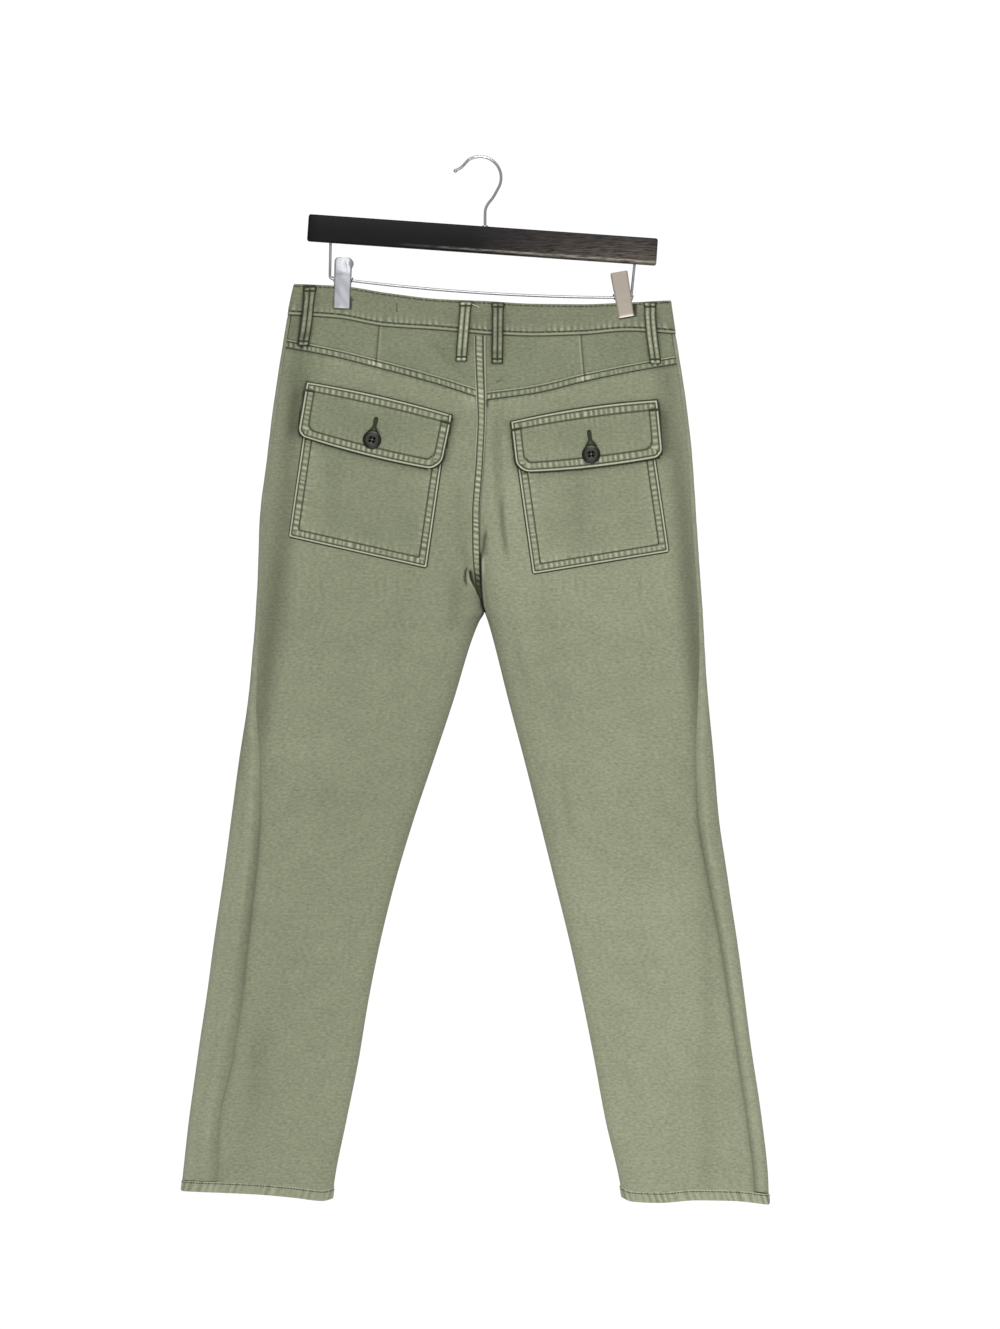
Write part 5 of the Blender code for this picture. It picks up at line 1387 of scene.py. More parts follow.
# the lap on the front's surface, its rows closer round the foot's curve, with a stitched outer side
def makeFly():
    count = flyDetail["roundRows"]
    down = np.linspace(0, 1, flyDetail["rows"])
    turn = np.cos(np.linspace(0, quarterTurn, count + 4))
    down = np.concatenate([down[:-count], 1 - (1 - down[-count]) * turn])[:, None]
    across = np.linspace(0, 1, flyDetail["columns"])[None, :]
    down, across = np.broadcast_arrays(down, across)
    x, drop = patchPlace(flyPatch(), across, down)
    surface, normal, _ = faceFrame("front", x, drop)
    fromSide, fromCentre = across * flyDetail["width"], (1 - across) * flyDetail["width"]
    height, wearAndPaintedLight, dark = seamRelief(fromSide, down * flyDetail["length"], 61, flyDetail["stitchAt"], ladder=0)
    height = height - bells(fromCentre, (0.4, 0, 0.7))
    wearAndPaintedLight = wearAndPaintedLight + bells(fromCentre, (0.8, 0.8, 0.7))
    outside = surface + normal * (form["layGap"] + form["cloth"] + height)[..., None]
    inside = surface + normal * form["layGap"]
    marks = {"fade": fadeAt(x, drop), "wearAndPaintedLight": wearAndPaintedLight, "dark": dark}
    for column in (3, 7):
        path = (outside[:, column], normal[:, column])
        foot = (outside[-3, column:-3], normal[-3, column:-3])
        seams["fly"].append(tuple(np.concatenate(pair) for pair in zip(path, foot)))
    makeWall("fly_lap_cloth", outside, inside, trimCanvas, ["fly_lap"], marks, flatPlace(x, drop))


makeFly()

loopDetail = {"width": 12.0, "cloth": 1.6, "lift": 6.4, "tack": 5.0, "slope": 9.0, "rows": 84, "columns": 25,
              "ridge": 0.55, "ridgeAt": 3.0, "tackLine": 4.0, "shades": (0.5, 0.0, 0.46, 0.05, 0.05, 0.05)}


# points on a loop at a distance along it and across it, with its lift eased up from each sewn end
def loopSurface(face, top, foot, along, across):
    length = math.dist(top, foot)
    share = along / length
    x = top[0] + (foot[0] - top[0]) * share
    drop = top[1] + (foot[1] - top[1]) * share
    surface, normal, down = faceFrame(face, x, drop)
    fromEnd = np.minimum(along, length - along)
    standing = ease((fromEnd - loopDetail["tack"]) / loopDetail["slope"])
    ends = np.where(along < length / 2, form["bandRise"], 0) + form["layGap"]
    lift = ends * (1 - standing) + (form["bandRise"] + loopDetail["lift"]) * standing
    sideways = np.cross(normal, down)
    inside = surface + normal * lift[..., None] + sideways * across[..., None]
    return inside, normal, fromEnd


# a folded strip with a sunk, stitched middle between two ridges, flared and frayed a little at its top and
# bar-tacked at both ends; rows of bells are (strength, place, width)
def makeLoop(number, face, top, foot):
    length = math.dist(top, foot)
    aside = np.linspace(-0.5, 0.5, loopDetail["columns"]) * loopDetail["width"]
    along, across = np.meshgrid(np.linspace(0, length, loopDetail["rows"]), aside, indexing="ij")
    flare = 0.16 * hump(along - 1.5, 4.5) + 0.05 * ripple(along, 110 + number, 3.2) * hump(along, 14)
    across = across * (1 + flare + 0.018 * ripple(along, 120 + number, 7.0))
    inside, normal, fromEnd = loopSurface(face, top, foot, along, across)
    wave = pucker(along, 50 + number, 6.5)
    ridge = hump(np.abs(across) - loopDetail["ridgeAt"], 1.3)
    fromSide = np.abs(across[:, -1:]) - np.abs(across)
    tackFrom = loopDetail["tackLine"]
    height = loopDetail["cloth"] + loopDetail["ridge"] * ridge * (1 + 0.25 * wave)
    height = height - bells(across, (0.5, 0, 0.9)) - bells(fromSide, (1.0, 0, 0.8))
    height = height - bells(fromEnd, (-0.6, 2.0, 1.3), (0.5, 0, 0.7), (0.5, tackFrom, 0.8))
    wearAndPaintedLight = ridge * (0.4 + 0.4 * wave) + bells(fromEnd, (0.8, 2.1, 0.9)) * (0.4 + 0.6 * ridge)
    wearAndPaintedLight = wearAndPaintedLight * (1 - hump(fromEnd - tackFrom, 1.0))
    frayed = np.clip(0.4 + ripple(across + 3 * along, 130 + number, 3.0), 0, 1)
    # dark: the stitched middle's groove, painted shade along both sides, the frayed top and the bar tacks
    dark = bells(across, (1.1, 0, 0.85)) * ease(fromEnd / 4) + bells(fromSide, (1.6, 0, 1.3))
    dark = dark + bells(along, (0.7, 1.0, 1.6)) * frayed
    dark = dark + bells(fromEnd, (1.0, tackFrom, 0.75), (0.9, 0, 0.6))
    shade = loopDetail["shades"][number - 1]
    dark = dark + shade * (0.7 + 0.3 * ripple(along + across, 70 + number, 9)) * ramp(along, -7, 7)
    marks = {"fade": 0.34 + 0 * along, "wearAndPaintedLight": wearAndPaintedLight * (1 - shade), "dark": dark}
    outside = inside + normal * height[..., None]
    middle = loopDetail["columns"] // 2
    seams["loop"].append((outside[4:-4, middle], normal[4:-4, middle]))
    tackRow = np.argmax(along[:, 0] > tackFrom)
    for row in (tackRow, -tackRow - 1):
        seams["tack"].append((outside[row, 2:-2], normal[row, 2:-2]))
    makeWall(f"loop_{number}", outside, inside, trimCanvas, [f"belt_loop_{number}"], marks,
             flatPlace(across + number * 40, along))


for number, row in enumerate(loopRows, start=1):
    makeLoop(number, *row)
print("loops and fly made")


stripDetail = {"start": {"back": 185.6, "front": 356.0}, "stop": 460.0, "taper": 424.0, "step": 1.1,
               "columns": 29, "rowsAt": (2.0, 8.0), "width": 10.4, "lift": 0.25, "cloth": 0.75,
               "bandLift": 0.45}
# how far each row of stitches lies from the joint, down the seam
stripRows = {"drop": (187, 215, 250, 285, 335, 400, 418, 428, 438, 446, 453, 460),
             "first": (3.4, 3.3, 2.6, 2.0, 1.6, 1.0, 0.9, 0.8, 0.7, 0.7, 0.5, 0.2),
             "last": (11.2, 10.8, 9.6, 8.3, 8.2, 8.0, 7.5, 6.7, 5.8, 5.4, 4.2, 1.6)}


# a felled seam: a raised strip to the left of the centre joint, on columns e whose two rows of stitches stay
# at 2 and 8; it climbs over the yoke's lapped seam, sinks into the panel along its left side and narrows
# into the crotch; rows of bells are (strength, place, width)
def makeStrip(face, seed):
    back = face == "back"
    drops = np.arange(stripDetail["start"][face], stripDetail["stop"], stripDetail["step"])[:, None]
    width = stripDetail["width"]
    e = np.linspace(-0.3, width, stripDetail["columns"])[None, :]
    joint = section("leftIn", drops) - form["seamGap"] / 2 * (1 - openness(drops))
    narrowed = ramp(drops, stripDetail["taper"], stripDetail["stop"])
    first, last = stripDetail["rowsAt"]
    firstAt, lastAt = (through(stripRows["drop"], stripRows[key], drops) for key in ("first", "last"))
    reach = np.where(e < first, firstAt * np.maximum(e, 0.05) / first,
                     firstAt + (lastAt - firstAt) * (e - first) / (last - first))
    reach = np.where(e > last, lastAt + (e - last) * (1 - 0.8 * narrowed), reach)
    x = joint - reach
    drop = drops + 0 * x
    surface, normal, _ = faceFrame(face, x, drop)
    wave = pucker(drop + 0.25 * e, seed, 5.4)
    between = ease((e - first - 0.2) / 1.1) * ease((last - 0.2 - e) / 1.1)
    aboveYokeFoot = crossSeam("yokeFoot", np.full(x.shape, -0.02)) - drop
    overBand = ramp(aboveYokeFoot, -2.5, -0.5) * ramp(aboveYokeFoot, 10.5, 8.5)
    overBand = overBand * stripDetail["bandLift"] * back
    height = 0.38 * wave * between - bells(e, (0.45, first, 0.75), (0.45, last, 0.75), (0.5, 0, 0.6))
    settle = ramp(e, last + 1.0, width)
    lift = stripDetail["lift"] + overBand
    rise = (lift + stripDetail["cloth"] + height) * (1 - settle) - 0.25 * settle
    outside = surface + normal * rise[..., None]
    inside = surface + normal * ((lift - 0.1) * (1 - settle) - 0.6 * settle)[..., None]
    upper = 1 - ramp(drop, 290, 330)
    wearAndPaintedLight = 0.78 * np.clip(0.2 + 0.95 * wave, 0, 1) * between + bells(e, (0.35, 0.9, 0.5))
    wearAndPaintedLight = wearAndPaintedLight + bells(e, (0.5, 0.8, 0.7)) * upper + 0.5 * between * overBand
    wearAndPaintedLight = wearAndPaintedLight + (0.4 + 0.3 * upper) * hump(e - last - 1.1, 0.6)
    wearAndPaintedLight = wearAndPaintedLight * (1 - 0.9 * narrowed) * (1 - 0.45 * ramp(drop, 414, 426))
    # dark: the stitch rows, and painted shade along the joint, into the crotch and in the puckers' hollows
    dark = bells(e, (1.05, first, 0.75), (1.05, last, 0.8), (0.7, 0, 0.8))
    dark = dark + 2.4 * ramp(drop, 408, 420) * ramp(e, 3, 2) + 0.3 * ramp(drop, 426, 438)
    dark = dark + bells(e, (0.4, width - 0.3, 0.5)) * (1 - ramp(drop, 270, 310))
    dark = dark + 0.6 * np.clip(-wave, 0, 1) * between + creaseSum(face, x, drop, "shade") + 0.9 * narrowed
    for row in (first, last):
        column = int(np.argmin(np.abs(e[0] - row)))
        seams["centre"].append((outside[:-21, column], normal[:-21, column]))
    marks = {"fade": fadeAt(x, drop), "wearAndPaintedLight": wearAndPaintedLight, "dark": dark}
    makeWall(f"centre_seam_{face}", outside, inside, canvas, [], marks, flatPlace(x, drop))


# the seam's turned-in edges behind the joint: a ribbon that spans it from one panel to the other, coloured
# near-black as painted shade in the gap
def makeAllowance(face):
    drops = np.concatenate([np.arange(192.0, 402.0, 3.0), np.arange(402.0, 474.4, 1.2)])[:, None]
    c = np.linspace(-1, 1, 9)[None, :]
    joint = section("leftIn", drops) + 0 * c
    reach = 4.2 - 2.6 * ramp(drops, 404, 416)
    x = joint + c * reach
    drop = drops + 0 * x
    left, right = (faceFrame(face, joint + way * reach, drop)[0] for way in (-1, 1))
    share = (c[..., None] + 1) / 2
    inward = np.array((0.0, 1.0 if face == "back" else -1.0, 0.0))
    behind = form["cloth"] + 0.5 + 3.0 * ramp(drop, 424, 464)
    sheet = left * (1 - share) + right * share + inward * behind[..., None]
    marks = {"fade": 0 * x, "wearAndPaintedLight": 0 * x, "dark": 0.9 + 1.6 * ramp(drop, 404, 414)}
    makeWall(f"centre_allowance_{face}", sheet, sheet + inward, canvas, [], marks,
             flatPlace(x, drop))


for face, seed in (("back", 64), ("front", 66)):
    makeStrip(face, seed)
    makeAllowance(face)
print("centre seams made")


# pitch, length and radius of each kind of stitch
stitchLook = {"yoke": (3.3, 2.4, 0.42), "band": (4.3, 2.4, 0.45), "hem": (3.2, 2.0, 0.46),
              "patch": (3.1, 2.3, 0.42), "loop": (2.9, 2.2, 0.38), "tack": (0.62, 1.9, 0.36),
              "centre": (3.2, 2.4, 0.42), "fly": (3.3, 2.4, 0.33), "hole": (0.7, 1.3, 0.3),
              "cross": (1.7, 1.7, 0.4), "mark": (2.4, 1.7, 0.5)}
capsule = {"along": (-0.5, -0.36, 0.0, 0.36, 0.5), "girth": (0.3, 0.9, 1.0, 0.9, 0.3), "sides": 6}


# a stitch along X, of unit length and unit radius: rings of points whose middles rise and whose ends dip
def stitchTemplate():
    sides = capsule["sides"]
    turn = np.arange(sides) * (2 * math.pi / sides)
    along, girth = np.array(capsule["along"])[:, None], np.array(capsule["girth"])[:, None]
    rise = 0.9 * (1 - (2 * along) ** 2) - 0.25
    rings = np.stack([along + 0 * turn, girth * np.cos(turn), girth * np.sin(turn) + rise], axis=-1)
    points = rings.reshape(-1, 3)
    end = len(points) - sides
    caps = [(3, 2, 1, 0), (5, 4, 3, 0), (end, end + 1, end + 2, end + 3), (end, end + 3, end + 4, end + 5)]
    return points, np.concatenate([ringFaces(len(along), sides), caps])


# middles, directions and normals at even steps along each line
def evenSteps(lines, pitch):
    steps = []
    for points, normal in lines:
        length = np.concatenate([[0], np.cumsum(np.linalg.norm(np.diff(points, axis=0), axis=1))])
        places = np.arange(pitch / 2, length[-1], pitch)
        at, ahead, behind, up = (
            np.stack([np.interp(places + shift, length, values[:, k]) for k in range(3)], -1)
            for shift, values in ((0, points), (0.4, points), (-0.4, points), (0, normal)))
        steps.append((at, unit(ahead - behind), up))
    middles, ways, normals = (np.concatenate(parts) for parts in zip(*steps))
    return middles, ways, unit(normals)


# copies of the template, turned along each direction (or across it), as one mesh
def makeStitches(name, kind, lines, material, across=False):
    pitch, length, radius = stitchLook[kind]
    middles, ways, normals = evenSteps(lines, pitch)
    if across:
        ways = unit(np.cross(normals, ways))
    points, faces = stitchTemplate()
    sideways = unit(np.cross(normals, ways))
    jitter = np.random.default_rng(len(middles)).normal(0, 0.035, len(middles))[:, None]
    ways = unit(ways + sideways * jitter)
    sideways = np.cross(normals, ways)
    scaled = points * (length, radius, radius)
    placed = (middles[:, None] + ways[:, None] * scaled[None, :, :1]
              + sideways[:, None] * scaled[None, :, 1:2] + normals[:, None] * scaled[None, :, 2:])
    many = faces[None] + (np.arange(len(middles)) * len(points))[:, None, None]
    makeMesh(name, placed.reshape(-1, 3), many.reshape(-1, 4), material, [])


for name, kind, slotName, across in (
        ("stitches_yoke", "yoke", "cloth", False), ("stitches_waistband", "band", "band", False),
        ("stitches_hems", "hem", "cloth", False), ("stitches_pockets", "patch", "trim", False),
        ("stitches_loops", "loop", "trim", False), ("tacks_loops", "tack", "trim", True),
        ("stitches_centre", "centre", "cloth", False), ("stitches_fly", "fly", "trim", False)):
    makeStitches(name, kind, seams[kind], thread, across)
print("stitches made")


# a dense bar across each upper corner, from the side edge to the inner row of stitches
def flapTacks():
    lines = []
    for sideName, side in sideOf.items():
        patch, seed = flaps[sideName], patchDetail["seeds"]["flap"] + side
        width, height = patchSize(patch)
        for start, stop in ((0.3, 9.8), (width - 9.8, width - 0.3)):
            across = np.linspace(start, stop, 9) / width
            for drop in (8.4, 9.6):
                down = np.full(9, drop / height)
                outside, _, normal, *_ = patchSurface("flap", patch, across, down, seed)
                lines.append((outside, normal))
    return lines


# a profile of (radius, height) turned round the Z axis
def turnedMesh(profile, segments):
    turn = np.arange(segments) * (2 * math.pi / segments)
    radius, height = np.asarray(profile, float).T[:, :, None]
    rings = np.stack([radius * np.cos(turn), radius * np.sin(turn), height + 0 * turn], axis=-1)
    return rings.reshape(-1, 3), ringFaces(len(radius), segments)


# three axes as rows, the last along the normal and the first turned by the roll
def squareTo(normal, roll):
    first = unit(np.cross(normal, (math.sin(roll), 0.0, math.cos(roll))))
    return np.stack([first, np.cross(normal, first), normal])


buttonDetail = {
    "profile": ((0.01, 0), (7.4, 0), (9.1, 0.4), (9.6, 0.9), (9.65, 1.3), (9.4, 1.6), (8.7, 1.8), (7.2, 2.15),
                (6.2, 2.55), (5.6, 2.95), (5.2, 3.05), (4.8, 2.95), (4.4, 2.55), (4.1, 2.2), (3.6, 2.05),
                (1.8, 2.0), (0.01, 2.0)),
    "holes": 2.5, "holeRadius": 1.3, "holeFoot": 1.7, "holeTop": 2.12, "threadAt": 2.1, "threadHalf": 0.32,
    "palerAt": (0, 3.8, 4.6, 5.2, 5.8, 6.4, 7.2, 8.4), "paler": (0.5, 0.45, 0.6, 1.6, 0.95, 0.55, 0.2, 0),
    "places": {"flap_button_left": ("back", -112.2, 295.0, 4.0, 0.25),
               "flap_button_right": ("back", 115.6, 310.0, 4.0, -0.1),
               "waist_button": ("front", -6.0, 184.5, 1.3, 0.1)},
}


# a rimmed disc with a painted highlight on its raised ring, four black dimples as painted shade in the
# holes, and a cross of thread over them
def makeButton(node):
    face, x, drop, lift, roll = buttonDetail["places"][node]
    surface, normal, _ = faceFrame(face, np.float64(x), np.float64(drop))
    turned = squareTo(normal, roll)
    seat = surface + normal * lift
    points, faces = turnedMesh(buttonDetail["profile"], 48)
    paler = np.interp(np.hypot(points[:, 0], points[:, 1]), buttonDetail["palerAt"], buttonDetail["paler"])
    makeMesh(f"{node}_disc", seat + points @ turned, faces, buttonFinish, [node], None,
             {"wearAndPaintedLight": paler * (points[:, 2] > 1)}, 40)
    reach, low, high = (buttonDetail[key] for key in ("holeRadius", "holeFoot", "holeTop"))
    dimple, dimpleFaces = turnedMesh(((0.01, low), (reach, low), (reach, high), (0.01, high)), 16)
    turn = (np.arange(4) + 0.5) * quarterTurn
    shifts = np.stack([np.cos(turn), np.sin(turn), 0 * turn], axis=-1) * buttonDetail["holes"]
    holes = seat + (dimple + shifts[:, None]) @ turned
    holeFaces = dimpleFaces + np.arange(4)[:, None, None] * len(dimple)
    makeMesh(f"{node}_holes", holes.reshape(-1, 3), holeFaces.reshape(-1, 4), paintedHoleShade, [])
    spread = np.linspace(buttonDetail["threadHalf"], -buttonDetail["threadHalf"], 9)[:, None]
    paths = [seat + (shift * spread + (0, 0, buttonDetail["threadAt"])) @ turned for shift in shifts[:2]]
    lines = [(path, np.broadcast_to(normal, path.shape)) for path in paths]
    makeStitches(f"{node}_thread", "cross", lines, paleThread)


# a buttonhole pulled open above its button: a narrow eye that spreads into a dark wedge of painted shade,
# between two lips of close cross stitches
def makeButtonhole(sideName):
    top, foot = holeRows[sideName]
    t = np.linspace(0, 1, 30)[:, None]
    c = np.linspace(-1, 1, 9)[None, :]
    half = 1.2 * np.sin(np.clip(t / 0.16, 0, 1) * quarterTurn) - bells(t, (0.35, 0.5, 0.14))
    half = half + 4.0 * ramp(t, 0.52, 1) ** 1.2 + 0.1
    lean = (foot[0] - top[0]) / (foot[1] - top[1])
    level = patchDetail["flapLift"] + patchDetail["flapCloth"]

    # the flap's surface so far aside of the hole's line, which leans
    def place(aside, down):
        x = top[0] + (foot[0] - top[0]) * down + aside
        drop = top[1] + (foot[1] - top[1]) * down - aside * lean
        surface, normal, _ = faceFrame("back", x, drop)
        return surface, normal, flatPlace(x, drop)

    surface, normal, uv = place(half * c, t)
    # the wedge is painted shade, darkest at its eye and its sides
    dark = 1.25 + 0.2 * np.abs(c) + bells(t, (0.5, 0.05, 0.09))
    dark = dark - bells(c, (0.55, 0, 0.4)) * hump(t - 0.2, 0.05)
    dark = dark - bells(c, (0.75, 0, 0.28)) * hump(t - 0.74, 0.1)
    makeWall(f"buttonhole_{sideName}", surface + normal * (level + 0.5), surface + normal * (level - 0.2),
             trimCanvas, [], {"dark": dark}, uv)
    lips = []
    for way in (-1, 1):
        surface, normal, _ = place(way * (half[:, 0] + 0.5), t[:, 0])
        lips.append((surface + normal * (level + 0.5), normal))
    makeStitches(f"buttonhole_stitches_{sideName}", "hole", lips, thread, True)


markRows = (((-86.6, 151.7), (-86.4, 161.5)), ((-132.5, 147.0), (-132.4, 149.5)),
            ((190.0, 150.5), (196.0, 150.8)))


# short rows of dark stitches left on the waistband
def bandMarks():
    lines = []
    for top, foot in markRows:
        t = np.linspace(0, 1, 12)
        x, drop = top[0] + (foot[0] - top[0]) * t, top[1] + (foot[1] - top[1]) * t
        surface, normal, _ = faceFrame("back", x, drop)
        lines.append((surface + normal * (form["bandRise"] + 0.25), normal))
    return lines


# a loose end of thread beside the second loop
def makeLooseThread():
    x = np.array([-9.5, -7.2, -5.0, -2.6, -0.8])
    drop = np.array([153.0, 153.2, 154.6, 155.2, 157.2])
    surface, normal, _ = faceFrame("back", x, drop)
    path = spline(surface + normal * np.array([1.0, 2.6, 2.2, 2.6, 2.0])[:, None], 6)
    makeRod("loose_thread", path, 0.42, looseYarn, [], 8)


makeStitches("stitch_marks", "mark", bandMarks(), thread)
makeStitches("tacks_flaps", "tack", flapTacks(), thread, True)
for node in buttonDetail["places"]:
    makeButton(node)
for sideName in sideOf:
    makeButtonhole(sideName)
print("buttons made")


# the hanger's sizes in millimetres, in the photo's directions
bar = {"middle": (2.6, 85.5), "length": 365.0, "height": 28.2, "depth": 14.0, "lean": 4.0, "softTop": 1.8,
       "softFoot": 2.6, "endSteps": (0, 0.35, 1.1, 2.4)}
hook = {"wire": 1.5, "radius": 22.0, "arcStart": 124.0, "arcEnd": -30.0,
        "flare": ((-25.6, 13.3), (-19.4, 9.7)),
        "shank": ((13.6, 41.2), (8.4, 47.8), (5.8, 53.5), (5.3, 60.0)), "ball": 2.1,
        "collar": ((1.6, -0.4), (3.4, -0.4), (3.6, 0.3), (3.0, 1.1), (1.6, 1.3))}
wire = {"radius": 1.4, "sag": 4.6, "bend": 4.0, "left": (-156.6, 126.0), "right": (157.6, 146.1),
        "topShift": {"left": 0.7, "right": 3.6}}
clipColumns = ("x", "lean", "above", "below", "taper", "corner", "flange", "curl")
clipRows = {"left": (-143.2, 2.0, 23.0, 30.0, 0.0, 4.5, 1.0, 0.1),
            "right": (149.3, -9.7, 27.0, 20.6, 0.1, 1.6, 0.0, 0.9)}
clips = {side: dict(zip(clipColumns, row)) for side, row in clipRows.items()}
jaw = {"width": 18.2, "metal": 1.0, "leverSpread": 7.2, "neckSpread": 6.3, "neckAt": 0.82, "holdStart": 5.0,
       "curlLength": 3.0, "springOuter": 3.2, "crown": 0.35, "edge": 1.5, "edgeFrom": 0.86, "flangeOut": 1.9,
       "flangeBack": 1.2, "fold": 0.55, "dent": 0.3, "paintedReflectionBands": ((0.6, 24, 7), (0.45, 43, 4)),
       "bandSlant": 14}
coil = {"turns": 6.0, "radius": 2.45, "half": 10.6, "wire": 0.55, "points": 150}


# (x, drop) as points in the middle plane
def inPlane(points):
    points = np.asarray(points, float)
    return np.stack([points[:, 0], np.zeros(len(points)), -points[:, 1]], axis=-1)


# a curve through points: cubic steps whose slopes come from the neighbours
def spline(points, steps):
    points = np.asarray(points, float)
    padded = np.concatenate([[2 * points[0] - points[1]], points, [2 * points[-1] - points[-2]]])
    t = (np.arange(steps) / steps)[:, None]
    runs = []
    for before, start, stop, after in zip(padded[:-3], padded[1:-2], padded[2:-1], padded[3:]):
        lean, leanNext = (stop - before) / 2, (after - start) / 2
        runs.append(start + lean * t + (3 * (stop - start) - 2 * lean - leanNext) * t ** 2
                    + (2 * (start - stop) + lean + leanNext) * t ** 3)
    return np.concatenate([*runs, points[-1:]])


# a round rod along a path; radii may change along it, and each end closes on a point
def rodMesh(path, radius, sides=16):
    along = unit(np.gradient(path, axis=0))
    reference = np.array((0.0, 1.0, 0.0))
    first = unit(np.cross(along, reference) + 1e-6)
    second = np.cross(along, first)
    turn = np.arange(sides) * (2 * math.pi / sides)
    ring = np.cos(turn)[None, :, None] * first[:, None] + np.sin(turn)[None, :, None] * second[:, None]
    radius = np.broadcast_to(radius, len(path))[:, None, None]
    points = (path[:, None] + radius * ring).reshape(-1, 3)
    return points, ringFaces(len(path), sides)


# a rod as a piece
def makeRod(name, path, radius, material, nodes, sides=16, sharp=60):
    points, faces = rodMesh(path, radius, sides)
    makeMesh(name, points, faces, material, nodes, None, None, sharp)


# drop of the bar's upper (way -1) or lower (way 1) face, along its lean
def barFace(x, way):
    lean = math.radians(bar["lean"])
    middle = bar["middle"][1] + (x - bar["middle"][0]) * math.tan(lean)
    return middle + way * bar["height"] / 2 / math.cos(lean)


# a rectangle with rounded corners carried along the bar; its ends are drawn in by the same steps as they
# go out, and close on a point
def makeBar():
    lean = math.radians(bar["lean"])
    along = np.array((math.cos(lean), 0, -math.sin(lean)))
    up = np.array((math.sin(lean), 0, math.cos(lean)))
    steps, half = np.array(bar["endSteps"]), bar["length"] / 2
    run = np.concatenate([steps - half, np.linspace(steps[-1] - half, half - steps[-1], 40)[1:-1],
                          half - steps[::-1]])
    draw = np.concatenate([steps[::-1], np.zeros(38), steps])
    corner = np.repeat(np.arange(4), 6)
    turn = np.radians(np.tile(np.linspace(4, 86, 6), 4)) + corner * quarterTurn
    quarter = (corner + 0.5) * quarterTurn
    soft = np.where(corner > 1, bar["softFoot"], bar["softTop"])[:, None]
    sizes = np.array((bar["depth"], bar["height"])) / 2
    outline = np.sign(np.stack([np.cos(quarter), np.sin(quarter)], -1)) * (sizes - soft)
    outline = outline + soft * np.stack([np.cos(turn), np.sin(turn)], -1)
    shrunk = outline[None] * (1 - draw[:, None, None] / sizes)
    shrunk = np.concatenate([shrunk[:1] * 0.02, shrunk, shrunk[-1:] * 0.02])
    run = np.concatenate([run[:1], run, run[-1:]])[:, None, None]
    points = inPlane([bar["middle"]])[0] + along * run + shrunk[..., :1] * (0, 1, 0) + up * shrunk[..., 1:]
    faces = ringFaces(*points.shape[:2])[:, [0, 3, 2, 1]]
    makeMesh("bar_wood", points.reshape(-1, 3), faces, wood, ["hanger_bar"], None, None, 40)


# a rod through the flare, the crook's arc and the shank down to the bar, with a ball on its tip and a
# collar where it enters the wood
def makeHook():
    radius = hook["radius"]
    turn = np.radians(np.linspace(hook["arcStart"], hook["arcEnd"], 26))
    arc = np.stack([radius * np.cos(turn), radius - hook["wire"] - radius * np.sin(turn)], axis=-1)
    shankX = hook["shank"][-1][0]
    foot = (shankX, barFace(shankX, -1))
    path = inPlane(spline(np.concatenate([hook["flare"], arc, hook["shank"], [foot]]), 4))
    makeRod("hook_wire", path, hook["wire"], chrome, ["hanger_hook"])
    turn = np.linspace(0, math.pi, 9)
    profile = np.stack([np.sin(turn) * hook["ball"] + 0.005, -np.cos(turn) * hook["ball"]], axis=-1)
    ball, faces = turnedMesh(profile, 18)
    makeMesh("hook_ball", ball + path[0], faces, chrome, [])
    collar, faces = turnedMesh(hook["collar"], 24)
    makeMesh("hook_collar", collar + inPlane([foot])[0], faces, chrome, [])


# drop of the straight line between the wire's two corners
def wireDrop(x):
    (leftX, leftDrop), (rightX, rightDrop) = wire["left"], wire["right"]
    return leftDrop + (x - leftX) * (rightDrop - leftDrop) / (rightX - leftX)


# a rod from the bar down to each corner, round it on a quadratic curve, and across in a parabola's sag
def makeWire():
    bends = []
    for name, way in (("left", 1), ("right", -1)):
        corner = np.array(wire[name])
        topX = corner[0] + wire["topShift"][name]
        top = np.array((topX, barFace(topX, 1)))
        inward = corner[0] + way * wire["bend"]
        start = corner + (top - corner) / np.linalg.norm(top - corner) * wire["bend"]
        stop = np.array((inward, wireDrop(inward)))
        t = np.linspace(0, 1, 14)[:, None]
        curve = start * (1 - t) ** 2 + 2 * corner * t * (1 - t) + stop * t ** 2
        run = np.concatenate([top + (start - top) * np.linspace(0, 1, 8)[:-1, None], curve])
        bends.append(run[::way])
    middle = bends[0][-1] + (bends[1][0] - bends[0][-1]) * np.linspace(0, 1, 80)[1:-1, None]
    between = np.clip((middle[:, 0] - clips["left"]["x"]) / (clips["right"]["x"] - clips["left"]["x"]), 0, 1)
    middle[:, 1] += wire["sag"] * 4 * between * (1 - between)
    path = inPlane(np.concatenate([bends[0], middle, bends[1]]))
    makeRod("hanger_wire_round", path, wire["radius"], wireSteel, ["hanger_wire"])


